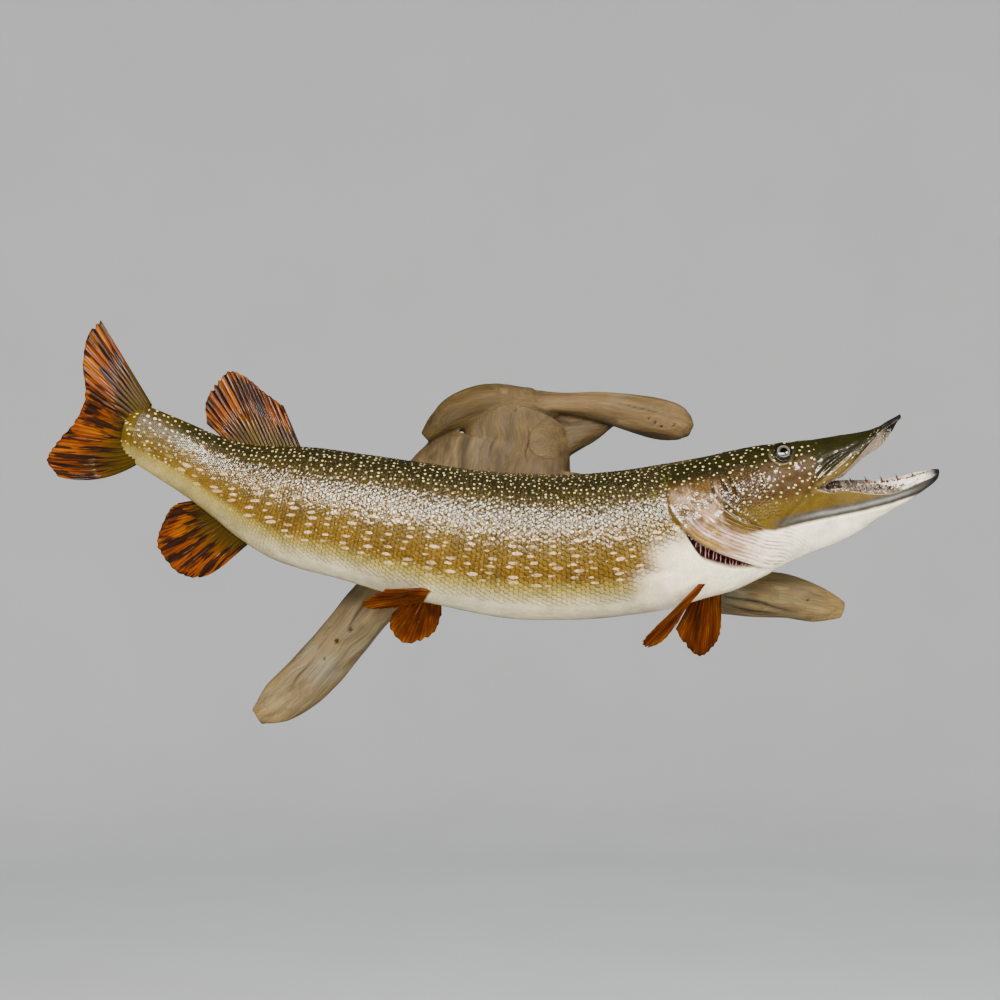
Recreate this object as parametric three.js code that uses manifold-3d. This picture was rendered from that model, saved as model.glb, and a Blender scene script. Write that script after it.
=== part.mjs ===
// A northern pike skin mount, life size, lying across a driftwood panel that hangs flat on a wall.
// Millimetres. +X runs towards the head, +Z is up and +Y points into the wall. The wall plane is y = 0.
import * as THREE from 'three';
import { mergeVertices } from 'three/addons/utils/BufferGeometryUtils.js';
import Module from 'manifold-3d';

const wasm = await Module();
wasm.setup();

// ---- driving dimensions --------------------------------------------------------------------------
const GAP = 0.3; // left between two pieces that touch
const FISH_Y = -105; // middle plane of the trunk and head
const HEAD_PITCH = 12; // degrees that the head's long axis rises
const HEAD_ORIGIN = new THREE.Vector2(175, -37.5); // x and z where the head's axis leaves the trunk
const BODY_SIDES = 24; // facets round the body
const BODY_RINGS = 25; // rings along the trunk and head
const JAW_RINGS = 8;
const MOUTH_SIDES = 10; // facets round the mouth's hollows and the tongue
const CUT_REAR_X = -200; // where the trunk is parted into its three lengths
const CUT_MIDDLE_X = 0;
const COVER_INNER = 26; // distance of a gill cover's inner face from the middle plane
const SLIT_DEPTH = 29; // distance of the gill slit's floor from the middle plane
const GILL_SINK = 6; // how far the gill filaments lie below the skin
const EYE = { u: 132, v: 60, lateral: 19, radius: 10.6, depth: 8.5, tilt: 20 };
const FIN_TIP = 1.2; // thickness of a fin's free edge
const WOOD_SIDES = 12;
const SADDLE = { rings: 13, facets: 16, clearance: 2 }; // the seat cut in the wood for the fish's side
const WALL_Y = 0;

// Sections of the body from the tail base forwards: centre, pitch in degrees, half height and half width.
const TRUNK = [
  { x: -379, z: 69, y: -70, pitch: -15, high: 31, wide: 9 },
  { x: -341, z: 50, y: -73, pitch: -25, high: 34, wide: 15 },
  { x: -311, z: 34, y: -76, pitch: -26.5, high: 37, wide: 19 },
  { x: -281, z: 19.5, y: -81, pitch: -24, high: 44, wide: 25 },
  { x: -252, z: 7, y: -86, pitch: -20, high: 53.5, wide: 31 },
  { x: -222, z: -3, y: -91, pitch: -15.5, high: 61, wide: 36 },
  { x: -193, z: -9.5, y: -96, pitch: -12.5, high: 64.5, wide: 40 },
  { x: -148, z: -18.5, y: -101, pitch: -12, high: 67, wide: 44 },
  { x: -103, z: -28.5, y: -104, pitch: -11, high: 70.5, wide: 46.5 },
  { x: -44, z: -39.5, y: -105, pitch: -9, high: 73, wide: 48.5 },
  { x: 16, z: -48, y: -105, pitch: -4, high: 76, wide: 49.5 },
  { x: 76, z: -49, y: -105, pitch: 2.2, high: 76, wide: 49.5 },
  { x: 120, z: -45.6, y: -105, pitch: 6.5, high: 75.6, wide: 49 },
  { x: 163, z: -39.5, y: -105, pitch: 11, high: 75.2, wide: 48 },
];

// Sections of the head: u runs along its axis and v up, both from the head's origin.
// level is the height where the head is widest, which reaches the corner of the mouth.
const HEAD = [
  { u: 25, top: 74.5, level: -3, bottom: -71.5, wide: 47.5, crown: 2.3, keel: 2.1 },
  { u: 55, top: 73.5, level: -4, bottom: -69.5, wide: 46.5, crown: 2.4, keel: 2 },
  { u: 85, top: 74, level: 0, bottom: -63, wide: 42.5, crown: 2.6, keel: 1.9 },
  { u: 112, top: 73, level: 7, bottom: -55, wide: 38, crown: 2.7, keel: 1.9 },
  { u: 136, top: 71.5, level: 12.5, bottom: -49.5, wide: 34, crown: 2.8, keel: 1.9 },
  { u: 156, top: 70, level: 16, bottom: -46.5, wide: 31, crown: 2.8, keel: 1.9 },
];
const UPPER_JAW = [
  { u: 148, top: 69.5, level: 15.5, bottom: 12, wide: 31, crown: 2.7, keel: 2 },
  { u: 170, top: 68.5, level: 21, bottom: 17, wide: 29.5, crown: 2.6, keel: 2 },
  { u: 190, top: 67.5, level: 29, bottom: 24, wide: 27.5, crown: 2.5, keel: 2 },
  { u: 205, top: 66.5, level: 39, bottom: 33, wide: 25.5, crown: 2.4, keel: 2 },
  { u: 220, top: 66, level: 50, bottom: 41, wide: 23, crown: 2.3, keel: 2 },
  { u: 235, top: 67, level: 60, bottom: 47, wide: 20, crown: 2.2, keel: 2 },
  { u: 248, top: 69, level: 66, bottom: 58, wide: 15.5, crown: 2.1, keel: 2 },
  { u: 257, top: 70.5, level: 69, bottom: 65, wide: 10, crown: 2, keel: 2 },
  { u: 262, top: 72, level: 71, bottom: 69.5, wide: 3.5, crown: 2, keel: 2 },
];
const LOWER_JAW = [
  { u: 148, top: 17, level: 13.5, bottom: -46.5, wide: 30.5, crown: 2, keel: 1.9, roll: 4 },
  { u: 170, top: 18, level: 13.5, bottom: -44, wide: 29.5, crown: 2, keel: 1.9, roll: 7 },
  { u: 190, top: 16, level: 12, bottom: -38.5, wide: 27.5, crown: 2, keel: 1.9, roll: 9.5 },
  { u: 210, top: 11, level: 6.5, bottom: -30, wide: 25.5, crown: 2, keel: 1.9, roll: 14 },
  { u: 230, top: 6.5, level: 2.4, bottom: -22.5, wide: 22, crown: 2, keel: 1.9, roll: 17.5 },
  { u: 248, top: 6, level: 2.4, bottom: -17, wide: 18.5, crown: 2, keel: 1.9, roll: 17 },
  { u: 262, top: 7.5, level: 3.8, bottom: -11.5, wide: 14.5, crown: 2, keel: 1.9, roll: 17 },
  { u: 274, top: 9.5, level: 5.6, bottom: -6.5, wide: 10.8, crown: 2, keel: 1.9, roll: 22 },
  { u: 282, top: 11.5, level: 7.4, bottom: -2.5, wide: 8, crown: 2, keel: 1.9, roll: 30 },
  { u: 287, top: 12.6, level: 8.2, bottom: 1, wide: 5.6, crown: 2, keel: 1.9, roll: 26 },
  { u: 289.5, top: 13, level: 9.6, bottom: 5.5, wide: 2.6, crown: 2, keel: 1.9, roll: 10 },
];
// The hollow between the rami of the lower jaw, and the start of the gullet behind it.
const JAW_TROUGH = [
  { u: 130, top: 40, level: 14, bottom: 2, wide: 20, crown: 2, keel: 2 },
  { u: 170, top: 50, level: 14, bottom: -6, wide: 23, crown: 2, keel: 2.2 },
  { u: 210, top: 50, level: 10, bottom: -10, wide: 19, crown: 2, keel: 2.2 },
  { u: 248, top: 50, level: 8, bottom: -7, wide: 13, crown: 2, keel: 2.2 },
  { u: 270, top: 50, level: 10, bottom: 1, wide: 7, crown: 2, keel: 2.2 },
  { u: 277, top: 50, level: 14, bottom: 6, wide: 3, crown: 2, keel: 2 },
];
const GULLET = [
  { u: 104, top: 14, level: 8, bottom: 4, wide: 8, crown: 2, keel: 2 },
  { u: 120, top: 18, level: 9, bottom: 0, wide: 16, crown: 2, keel: 2 },
  { u: 150, top: 23, level: 12, bottom: -5, wide: 22, crown: 2, keel: 2 },
  { u: 172, top: 24, level: 14, bottom: -6, wide: 23, crown: 2, keel: 2 },
];
const TONGUE = [
  { u: 128, top: 3, level: 1.5, bottom: 1, wide: 6, crown: 2, keel: 2 },
  { u: 150, top: 7, level: 0, bottom: -3, wide: 11, crown: 2.2, keel: 2 },
  { u: 185, top: 8, level: 0, bottom: -5.5, wide: 12, crown: 2.2, keel: 2 },
  { u: 212, top: 5, level: 0, bottom: -5, wide: 9, crown: 2.2, keel: 2 },
  { u: 228, top: 1, level: -1, bottom: -3, wide: 4, crown: 2, keel: 2 },
];

// Lines on the side of the head, as [u, v], along which its parts meet.
const COVER_TOP = [[10, 62], [34, 63], [58, 58]];
const COVER_FRONT = [[58, 58], [56, 38], [60, 22], [70, 10], [82, -2], [93, -13], [98, -34], [104, -57]];
const GILL_EDGE = [[10, 62], [5, 40], [4, 22], [12, 7], [22, -8], [40, -24], [58, -36], [84, -50], [104, -57]];
const NAPE_END = [[-2, 110], [4, 80], [10, 62]];
const ISTHMUS_END = [[104, -57], [120, -75], [130, -110]];
const JAW_HINGE = [[93, -13], [104, -6], [130, 7], [156, 16], [172, 18.3], [190, 22.5], [205, 28], [320, 62]];
const MANDIBLE_EDGE = [[93, -13], [105, -16], [137, -15], [201, -15.5], [233, -14.5], [266, -10.5], [320, 0]];
const SLIT_LOWER = [[84, -50], [72, -49.5], [59, -47], [47, -42], [33, -34], [23, -24], [12, 7]];
const SLIT_UPPER = [[12, 7], [22, -8], [40, -24], [58, -36], [84, -50]];

const LOWER_TEETH = { first: 186, last: 264, count: 6, high: 8.5, low: 4.5, radius: 1.7 };
const PALATE_TEETH = { first: 200, last: 244, count: 4, high: 5, low: 3, radius: 1.5 };

// Fins: the root line runs inside the body, and the free edge follows the tips of the rays.
const FINS = {
  dorsal_fin: {
    rays: 12,
    root: [[-204, -91, 43], [-241, -88, 45], [-274, -82, 50]],
    edge: [[-227, -93, 99], [-249, -90, 115], [-267, -88, 130], [-283, -86, 136], [-299, -82, 123],
      [-310, -80, 103], [-309, -79, 80]],
  },
  anal_fin: {
    rays: 12,
    root: [[-258, -87, -40], [-287, -80, -21], [-313, -76, 1]],
    edge: [[-290, -87, -69], [-308, -86, -80], [-325, -84, -82], [-341, -81, -75], [-355, -78, -60],
      [-362, -75, -46], [-358, -73, -28], [-349, -73, -10], [-339, -74, -3]],
  },
  tail_fin: {
    rays: 16,
    root: [[-369, -70, 101], [-376, -70, 69], [-386, -70, 37]],
    edge: [[-423, -66, 191], [-437, -63, 177], [-443, -61, 146], [-441, -60, 111], [-451, -60, 86],
      [-472, -60, 61], [-481, -62, 43], [-469, -66, 25]],
    sag: 9,
  },
  pectoral_fin_right: {
    rays: 8,
    root: [[212, -134, -82], [206, -126, -92], [196, -120, -99]],
    edge: [[156, -178, -128], [144, -172, -143], [150, -158, -150], [166, -143, -144], [183, -132, -126]],
  },
  pectoral_fin_left: {
    rays: 8,
    root: [[231, -88, -90], [220, -88, -94], [208, -84, -92]],
    edge: [[232, -74, -127], [231, -70, -145], [222, -67, -159], [210, -66, -165], [195, -68, -153],
      [185, -72, -137]],
  },
  pelvic_fin_right: {
    rays: 8,
    root: [[-60, -128, -92], [-66, -122, -97], [-72, -112, -101]],
    edge: [[-117, -158, -91], [-141, -152, -105], [-129, -138, -112], [-106, -124, -110]],
  },
  pelvic_fin_left: {
    rays: 8,
    root: [[-62, -92, -101], [-76, -90, -100], [-90, -88, -98]],
    edge: [[-62, -78, -121], [-69, -74, -139], [-84, -72, -149], [-103, -72, -151], [-116, -74, -135],
      [-114, -78, -120]],
  },
};
const FIN_ROOT = { dorsal_fin: 6, anal_fin: 6, tail_fin: 13 }; // thickness at the root, else PAIRED_ROOT
const PAIRED_ROOT = 4;

// Driftwood limbs: centre line as [x, z], half width across it, and front and back depth.
const WOOD = {
  core: [
    { x: 14, z: 120, wide: 30, front: -44, back: -16 },
    { x: 13, z: 104, wide: 47, front: -56, back: -8 },
    { x: 13, z: 80, wide: 52, front: -62, back: 6 },
    { x: 14, z: 61, wide: 61, front: -64, back: 12 },
    { x: 9, z: 44, wide: 84, front: -64, back: 14 },
    { x: 6, z: 22, wide: 112, front: -64, back: 14 },
    { x: 4, z: -5, wide: 118, front: -64, back: 14 },
    { x: 4, z: -50, wide: 112, front: -62, back: 14 },
    { x: 0, z: -88, wide: 84, front: -56, back: 10 },
    { x: -2, z: -108, wide: 44, front: -44, back: -10 },
  ],
  lobe: [
    { x: 36, z: 106, wide: 15, front: -52, back: -12 },
    { x: -11, z: 105, wide: 21, front: -60, back: -10 },
    { x: -43, z: 94, wide: 21, front: -58, back: -10 },
    { x: -64, z: 81, wide: 15, front: -52, back: -12 },
    { x: -80, z: 67, wide: 7, front: -42, back: -20 },
  ],
  arm: [
    { x: 21, z: 105, wide: 15, front: -50, back: -14 },
    { x: 64, z: 103, wide: 13, front: -52, back: -12 },
    { x: 107, z: 100, wide: 16, front: -54, back: -10 },
    { x: 150, z: 92, wide: 21, front: -54, back: -8 },
    { x: 180, z: 85, wide: 22, front: -50, back: -8 },
    { x: 197, z: 79, wide: 16, front: -44, back: -12 },
    { x: 206, z: 75, wide: 7, front: -36, back: -18 },
  ],
  web: [
    { x: 40, z: 62, wide: 34, front: -44, back: -6 },
    { x: 78, z: 74, wide: 22, front: -40, back: -6 },
    { x: 104, z: 80, wide: 13, front: -36, back: -8 },
    { x: 122, z: 85, wide: 5, front: -30, back: -14 },
  ],
  limb_left: [
    { x: -60, z: -34, wide: 32, front: -48, back: -4 },
    { x: -124, z: -99, wide: 28, front: -46, back: -4 },
    { x: -163, z: -143, wide: 27, front: -44, back: -4 },
    { x: -204, z: -188, wide: 28, front: -42, back: -4 },
    { x: -236, z: -217, wide: 24, front: -38, back: -6 },
    { x: -262, z: -234, wide: 10, front: -30, back: -12 },
  ],
  limb_right: [
    { x: 90, z: -52, wide: 34, front: -50, back: -4 },
    { x: 190, z: -84, wide: 30, front: -50, back: -4 },
    { x: 262, z: -100, wide: 26, front: -48, back: -4 },
    { x: 308, z: -105, wide: 24, front: -44, back: -6 },
    { x: 342, z: -112, wide: 20, front: -38, back: -8 },
    { x: 370, z: -119, wide: 9, front: -30, back: -12 },
  ],
};
const WOOD_CUTS = {
  lobe: [[-16, 140], [-26, 110], [-40, 78], [-62, 66], [-130, 52]],
  arm: [[58, 140], [52, 104], [66, 93.5], [100, 88], [126, 74], [150, 40]],
  limb_left: [[-150, -20], [-100, -56], [-62, -100], [-30, -150]],
  limb_right: [[90, -150], [112, -100], [128, -40], [170, -20]],
};

// ---- finishes ------------------------------------------------------------------------------------
const finish = (color, roughness, metalness = 0) => ({ color, roughness, metalness });
const FINISHES = {
  flank: finish(0x8a7a35, 0.25),
  face: finish(0x7d6526, 0.25),
  pale: finish(0xe3dccb, 0.3),
  gill: finish(0x7c1f26, 0.35),
  tongue: finish(0xd9b9a8, 0.35),
  fin: finish(0xa9501d, 0.3),
  eye: finish(0xc9c2a0, 0.05),
  wood: finish(0x8b7355, 0.85),
};

// ---- small helpers -------------------------------------------------------------------------------
const radians = THREE.MathUtils.degToRad;

// A point of the head's own frame, as u, v and the distance towards the room, in the model's frame.
function headPoint(u, v, lateral) {
  const a = radians(HEAD_PITCH);
  const x = HEAD_ORIGIN.x + u * Math.cos(a) - v * Math.sin(a);
  const z = HEAD_ORIGIN.y + u * Math.sin(a) + v * Math.cos(a);
  return new THREE.Vector3(x, FISH_Y - lateral, z);
}

// A smooth curve through the values of one field of the rows, at t counted in rows.
function smooth(values, t) {
  const i = Math.min(Math.floor(t), values.length - 2);
  const f = t - i;
  const p1 = values[i];
  const p2 = values[i + 1];
  const p0 = i > 0 ? values[i - 1] : 2 * p1 - p2;
  const p3 = i + 2 < values.length ? values[i + 2] : 2 * p2 - p1;
  const cubic = -p0 + 3 * p1 - 3 * p2 + p3;
  const square = 2 * p0 - 5 * p1 + 4 * p2 - p3;
  return 0.5 * (2 * p1 + (p2 - p0) * f + square * f * f + cubic * f * f * f);
}

function rowAt(rows, t) {
  const row = {};
  for (const key of Object.keys(rows[0])) {
    row[key] = smooth(rows.map((r) => r[key]), t);
  }
  return row;
}

// The row where the field reaches a value, found by halving.
function rowWhere(rows, key, value) {
  let low = 0;
  let high = rows.length - 1;
  for (let n = 0; n < 30; n += 1) {
    const middle = (low + high) / 2;
    if (rowAt(rows, middle)[key] < value) low = middle;
    else high = middle;
  }
  return rowAt(rows, low);
}

function curveAt(points, t) {
  const s = t * (points.length - 1);
  return new THREE.Vector3(...[0, 1, 2].map((axis) => smooth(points.map((p) => p[axis]), s)));
}

function geometryOf(positions, faces) {
  const geometry = new THREE.BufferGeometry();
  geometry.setAttribute('position', new THREE.Float32BufferAttribute(positions, 3));
  geometry.setIndex(faces);
  return geometry;
}

function solidOf(geometry) {
  const bare = geometry.clone();
  bare.deleteAttribute('normal');
  bare.deleteAttribute('uv');
  const merged = mergeVertices(bare, 1e-4);
  const vertProperties = new Float32Array(merged.attributes.position.array);
  const triVerts = new Uint32Array(merged.index.array);
  return new wasm.Manifold(new wasm.Mesh({ numProp: 3, vertProperties, triVerts }));
}

function geometryFrom(solid) {
  const { vertProperties, triVerts } = solid.getMesh();
  return geometryOf(Array.from(vertProperties), Array.from(triVerts));
}

// A closed skin over rings of points, which run anticlockwise seen from the last ring.
function loft(rings) {
  const n = rings[0].length;
  const positions = rings.flat().flatMap((p) => [p.x, p.y, p.z]);
  const faces = [];
  for (let i = 0; i + 1 < rings.length; i += 1) {
    for (let j = 0; j < n; j += 1) {
      const a = i * n + j;
      const b = i * n + ((j + 1) % n);
      faces.push(a, b, b + n, a, b + n, a + n);
    }
  }
  for (const [ring, first] of [[rings[0], 0], [rings.at(-1), (rings.length - 1) * n]]) {
    const hub = positions.length / 3;
    const centre = ring.reduce((sum, p) => sum.add(p), new THREE.Vector3()).divideScalar(n);
    positions.push(centre.x, centre.y, centre.z);
    for (let j = 0; j < n; j += 1) {
      const here = first + j;
      const next = first + ((j + 1) % n);
      faces.push(...(first ? [here, next, hub] : [next, here, hub]));
    }
  }
  return solidOf(geometryOf(positions, faces));
}

// An upright prism over a side-view outline of [x, z] points, from one depth to another.
function prism(outline, yFrom, yTo) {
  const shape = new THREE.Shape(outline.map(([x, z]) => new THREE.Vector2(x, z)));
  const geometry = new THREE.ExtrudeGeometry(shape, { depth: yTo - yFrom, bevelEnabled: false });
  geometry.rotateX(Math.PI / 2);
  geometry.translate(0, yTo, 0);
  return solidOf(geometry);
}

const THROUGH = [-260, 60]; // depths that clear the whole model
const onSide = (line) => line.map(([u, v]) => {
  const p = headPoint(u, v, 0);
  return [p.x, p.z];
});
const backwards = (line) => [...line].reverse();

// A thin wall that follows a side-view line and parts whatever it crosses.
function knife(line, width = GAP, [yFrom, yTo] = THROUGH) {
  const offset = (sign) => line.map(([x, z], i) => {
    const [ax, az] = line[Math.max(i - 1, 0)];
    const [bx, bz] = line[Math.min(i + 1, line.length - 1)];
    const length = Math.hypot(bx - ax, bz - az);
    return [x - (sign * width * (bz - az)) / 2 / length, z + (sign * width * (bx - ax)) / 2 / length];
  });
  return prism([...offset(1), ...backwards(offset(-1))], yFrom, yTo);
}

// ---- the fish ------------------------------------------------------------------------------------
const power = (value, exponent) => Math.sign(value) * Math.abs(value) ** exponent;

// One section: a superellipse with its own roundness above and below its widest level.
function sectionRing(s, grow, facets) {
  const pitch = radians(s.pitch);
  const roll = radians(s.roll ?? 0);
  const ring = [];
  for (let j = 0; j < facets; j += 1) {
    const angle = (2 * Math.PI * j) / facets;
    const above = Math.cos(angle) >= 0;
    const exponent = 2 / (above ? s.crown : s.keel);
    const reach = (above ? s.up : s.down) + grow;
    const across = (s.wide + grow) * power(Math.sin(angle), exponent);
    const rise = reach * power(Math.cos(angle), exponent) - across * Math.sin(roll);
    ring.push(new THREE.Vector3(s.x - rise * Math.sin(pitch), s.y - across, s.z + rise * Math.cos(pitch)));
  }
  return ring;
}

function headSection(row) {
  const centre = headPoint(row.u, row.level, 0);
  return {
    x: centre.x, y: FISH_Y, z: centre.z, pitch: HEAD_PITCH, up: row.top - row.level,
    down: row.level - row.bottom, wide: row.wide, crown: row.crown, keel: row.keel, roll: row.roll ?? 0,
  };
}

const trunkSection = (row) => ({
  x: row.x, y: row.y, z: row.z, pitch: row.pitch, up: row.high, down: row.high, wide: row.wide,
  crown: 2.15, keel: 2.1, roll: 0,
});
const BODY = [...TRUNK.map(trunkSection), ...HEAD.map(headSection)];

function tube(sections, count, grow = 0, facets = BODY_SIDES) {
  const rings = [];
  for (let i = 0; i <= count; i += 1) {
    rings.push(sectionRing(rowAt(sections, (i / count) * (sections.length - 1)), grow, facets));
  }
  return loft(rings);
}
const hollow = (rows, count) => tube(rows.map(headSection), count, 0, MOUTH_SIDES);

function tooth(base, direction, height, radius) {
  const cone = new THREE.ConeGeometry(radius, height * 1.5, 4);
  cone.applyQuaternion(new THREE.Quaternion().setFromUnitVectors(new THREE.Vector3(0, 1, 0), direction));
  const centre = base.clone().addScaledVector(direction, height * 0.25);
  return solidOf(cone.translate(centre.x, centre.y, centre.z));
}

// Two rows of teeth along a jaw, each rooted in it; side is -1 for the wall side and 1 for the room side.
function teethRow(rows, { first, last, count, high, low, radius }, inset, upright) {
  const teeth = [];
  for (let i = 0; i < count; i += 1) {
    const f = i / (count - 1);
    const row = rowWhere(rows, 'u', first + f * (last - first));
    for (const side of [-1, 1]) {
      const lateral = side * (row.wide - inset);
      const v = upright > 0 ? row.level - lateral * Math.sin(radians(row.roll)) : row.level * 0.35 + row.bottom * 0.65;
      const tip = headPoint(0, upright, -side * 0.25).sub(headPoint(0, 0, 0)).normalize();
      const height = low + (high - low) * Math.sin(Math.PI * f);
      teeth.push(tooth(headPoint(row.u, v, lateral), tip, height, radius));
    }
  }
  return teeth;
}

function wholeFish(grow) {
  const lower = tube(LOWER_JAW.map(headSection), JAW_RINGS, grow);
  const upper = tube(UPPER_JAW.map(headSection), JAW_RINGS, grow);
  return tube(BODY, BODY_RINGS, grow).add(upper).add(lower);
}

function fishFlesh() {
  let lower = tube(LOWER_JAW.map(headSection), JAW_RINGS).subtract(hollow(JAW_TROUGH, 5));
  let upper = tube(UPPER_JAW.map(headSection), JAW_RINGS);
  for (const one of teethRow(LOWER_JAW, LOWER_TEETH, 2.6, 1)) lower = lower.add(one);
  for (const one of teethRow(UPPER_JAW, PALATE_TEETH, 6, -1)) upper = upper.add(one);
  return tube(BODY, BODY_RINGS).subtract(hollow(GULLET, 3)).add(upper).add(lower);
}

function eyeSolid(side, grow) {
  const ball = new THREE.SphereGeometry(1, 14, 8);
  ball.scale(EYE.radius + grow, EYE.depth + grow, EYE.radius + grow);
  ball.rotateX(-side * radians(EYE.tilt));
  const centre = headPoint(EYE.u, EYE.v, side * EYE.lateral);
  return solidOf(ball.translate(centre.x, centre.y, centre.z));
}

// A fin: rays spread from the root line to the free edge, as a sheet that thins towards the edge.
function finSolid(name) {
  const { root, edge, rays, sag = 0 } = FINS[name];
  const rootThickness = FIN_ROOT[name] ?? PAIRED_ROOT;
  const steps = 3; // along each ray
  const middle = [];
  for (let i = 0; i <= rays; i += 1) {
    const from = curveAt(root, i / rays);
    const to = curveAt(edge, i / rays);
    for (let j = 0; j <= steps; j += 1) {
      const p = from.clone().lerp(to, j / steps);
      const end = Math.max(0, (2 * i) / rays - 1) ** 2;
      p.z -= sag * end * 4 * (j / steps) * (1 - j / steps);
      middle.push(p);
    }
  }
  const at = (i, j) => middle[i * (steps + 1) + j];
  const clamp = (value, top) => Math.min(Math.max(value, 0), top);
  const sheets = [1, -1].map((side) => middle.map((p, index) => {
    const i = Math.floor(index / (steps + 1));
    const j = index % (steps + 1);
    const alongRay = at(i, clamp(j + 1, steps)).clone().sub(at(i, clamp(j - 1, steps)));
    const acrossRays = at(clamp(i + 1, rays), j).clone().sub(at(clamp(i - 1, rays), j));
    const normal = acrossRays.cross(alongRay).normalize();
    const thickness = THREE.MathUtils.lerp(rootThickness, FIN_TIP, Math.sqrt(j / steps));
    return p.clone().addScaledVector(normal, (side * thickness) / 2);
  }));
  const positions = sheets.flat().flatMap((p) => [p.x, p.y, p.z]);
  const back = middle.length;
  const faces = [];
  const quad = (a, b, c, d) => faces.push(a, b, c, a, c, d);
  const id = (i, j) => i * (steps + 1) + j;
  for (let i = 0; i < rays; i += 1) {
    for (let j = 0; j < steps; j += 1) {
      quad(id(i, j), id(i + 1, j), id(i + 1, j + 1), id(i, j + 1));
      quad(back + id(i, j + 1), back + id(i + 1, j + 1), back + id(i + 1, j), back + id(i, j));
    }
    quad(id(i + 1, 0), id(i, 0), back + id(i, 0), back + id(i + 1, 0));
    quad(id(i, steps), id(i + 1, steps), back + id(i + 1, steps), back + id(i, steps));
  }
  for (let j = 0; j < steps; j += 1) {
    quad(id(0, j), id(0, j + 1), back + id(0, j + 1), back + id(0, j));
    quad(id(rays, j + 1), id(rays, j), back + id(rays, j), back + id(rays, j + 1));
  }
  const solid = solidOf(geometryOf(positions, faces));
  return solid;
}

// The two halves of a side-view line: everything ahead of the gill edge, and the cells within it.
const gillLine = onSide([...NAPE_END, ...GILL_EDGE.slice(1, -1), ...ISTHMUS_END]);
const hingeLine = onSide(JAW_HINGE);
const mandibleLine = onSide(MANDIBLE_EDGE);
const throatRear = onSide([...COVER_FRONT.slice(5), [112, -110]]);
const coverOutline = onSide([...COVER_TOP, ...COVER_FRONT.slice(1), ...backwards(GILL_EDGE).slice(1, -1)]);
const slitOutline = onSide([...SLIT_UPPER, ...SLIT_LOWER.slice(1, -1)]);
// The filaments fill the slit but for a gap along both its edges.
const inset = 2 * GAP;
const gillOutline = slitOutline.map(([x, z], i) => {
  const [px, pz] = slitOutline.at(i - 1);
  const [nx, nz] = slitOutline[(i + 1) % slitOutline.length];
  const length = Math.hypot(nx - px, nz - pz);
  return [x + (inset * (nz - pz)) / length, z - (inset * (nx - px)) / length];
}).filter((_, i) => i !== 0 && i !== SLIT_UPPER.length - 1);
const far = 520; // clear of the jaw tips
const headCell = prism([...gillLine, [far, -150], [far, 150]], ...THROUGH);
const jawCell = prism([...hingeLine, ...backwards(mandibleLine)], ...THROUGH);
const throatCell = prism([...mandibleLine, [far, -200], ...backwards(throatRear)], ...THROUGH);
const sides = { right: 1, left: -1 }; // the fish's right side faces the room, at -Y
const depthSpan = (side, from) => (side > 0
  ? [THROUGH[0], FISH_Y - from]
  : [FISH_Y + from, THROUGH[1]]);

function fishParts() {
  const whole = wholeFish(0);
  let flesh = fishFlesh();
  for (const line of [gillLine, hingeLine, mandibleLine, throatRear]) flesh = flesh.subtract(knife(line));
  for (const x of [CUT_REAR_X, CUT_MIDDLE_X]) flesh = flesh.subtract(knife([[x, -180], [x, 120]]));
  const parts = {};
  for (const [side, sign] of Object.entries(sides)) {
    const inner = depthSpan(sign, COVER_INNER);
    parts[`gill_cover_${side}`] = whole.intersect(prism(coverOutline, ...inner));
    const loop = [...coverOutline, coverOutline[0]];
    flesh = flesh.subtract(knife(loop, 2 * GAP, depthSpan(sign, COVER_INNER - GAP)));
    flesh = flesh.subtract(prism(coverOutline, ...depthSpan(sign, COVER_INNER - GAP)));
    const slit = prism(slitOutline, ...depthSpan(sign, SLIT_DEPTH));
    flesh = flesh.subtract(slit);
    const gills = prism(gillOutline, ...depthSpan(sign, SLIT_DEPTH + GAP));
    parts[`gills_${side}`] = gills.intersect(tube(BODY, BODY_RINGS, -GILL_SINK));
    flesh = flesh.subtract(eyeSolid(sign, GAP));
    parts[`eye_${side}`] = eyeSolid(sign, 0);
  }
  const behind = flesh.subtract(headCell);
  const lengthCell = (from, to) => prism([[from, -250], [to, -250], [to, 250], [from, 250]], ...THROUGH);
  parts.trunk_rear = behind.intersect(lengthCell(-500, CUT_REAR_X));
  parts.trunk_middle = behind.intersect(lengthCell(CUT_REAR_X, CUT_MIDDLE_X));
  parts.trunk_front = behind.intersect(lengthCell(CUT_MIDDLE_X, 500));
  parts.lower_jaw = flesh.intersect(headCell).intersect(jawCell);
  parts.throat = flesh.intersect(headCell).intersect(throatCell);
  parts.head = flesh.intersect(headCell).subtract(jawCell).subtract(throatCell);
  const mouth = parts.lower_jaw.add(parts.head).add(parts.throat);
  parts.tongue = hollow(TONGUE, 6).subtract(mouth);
  return parts;
}

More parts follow.
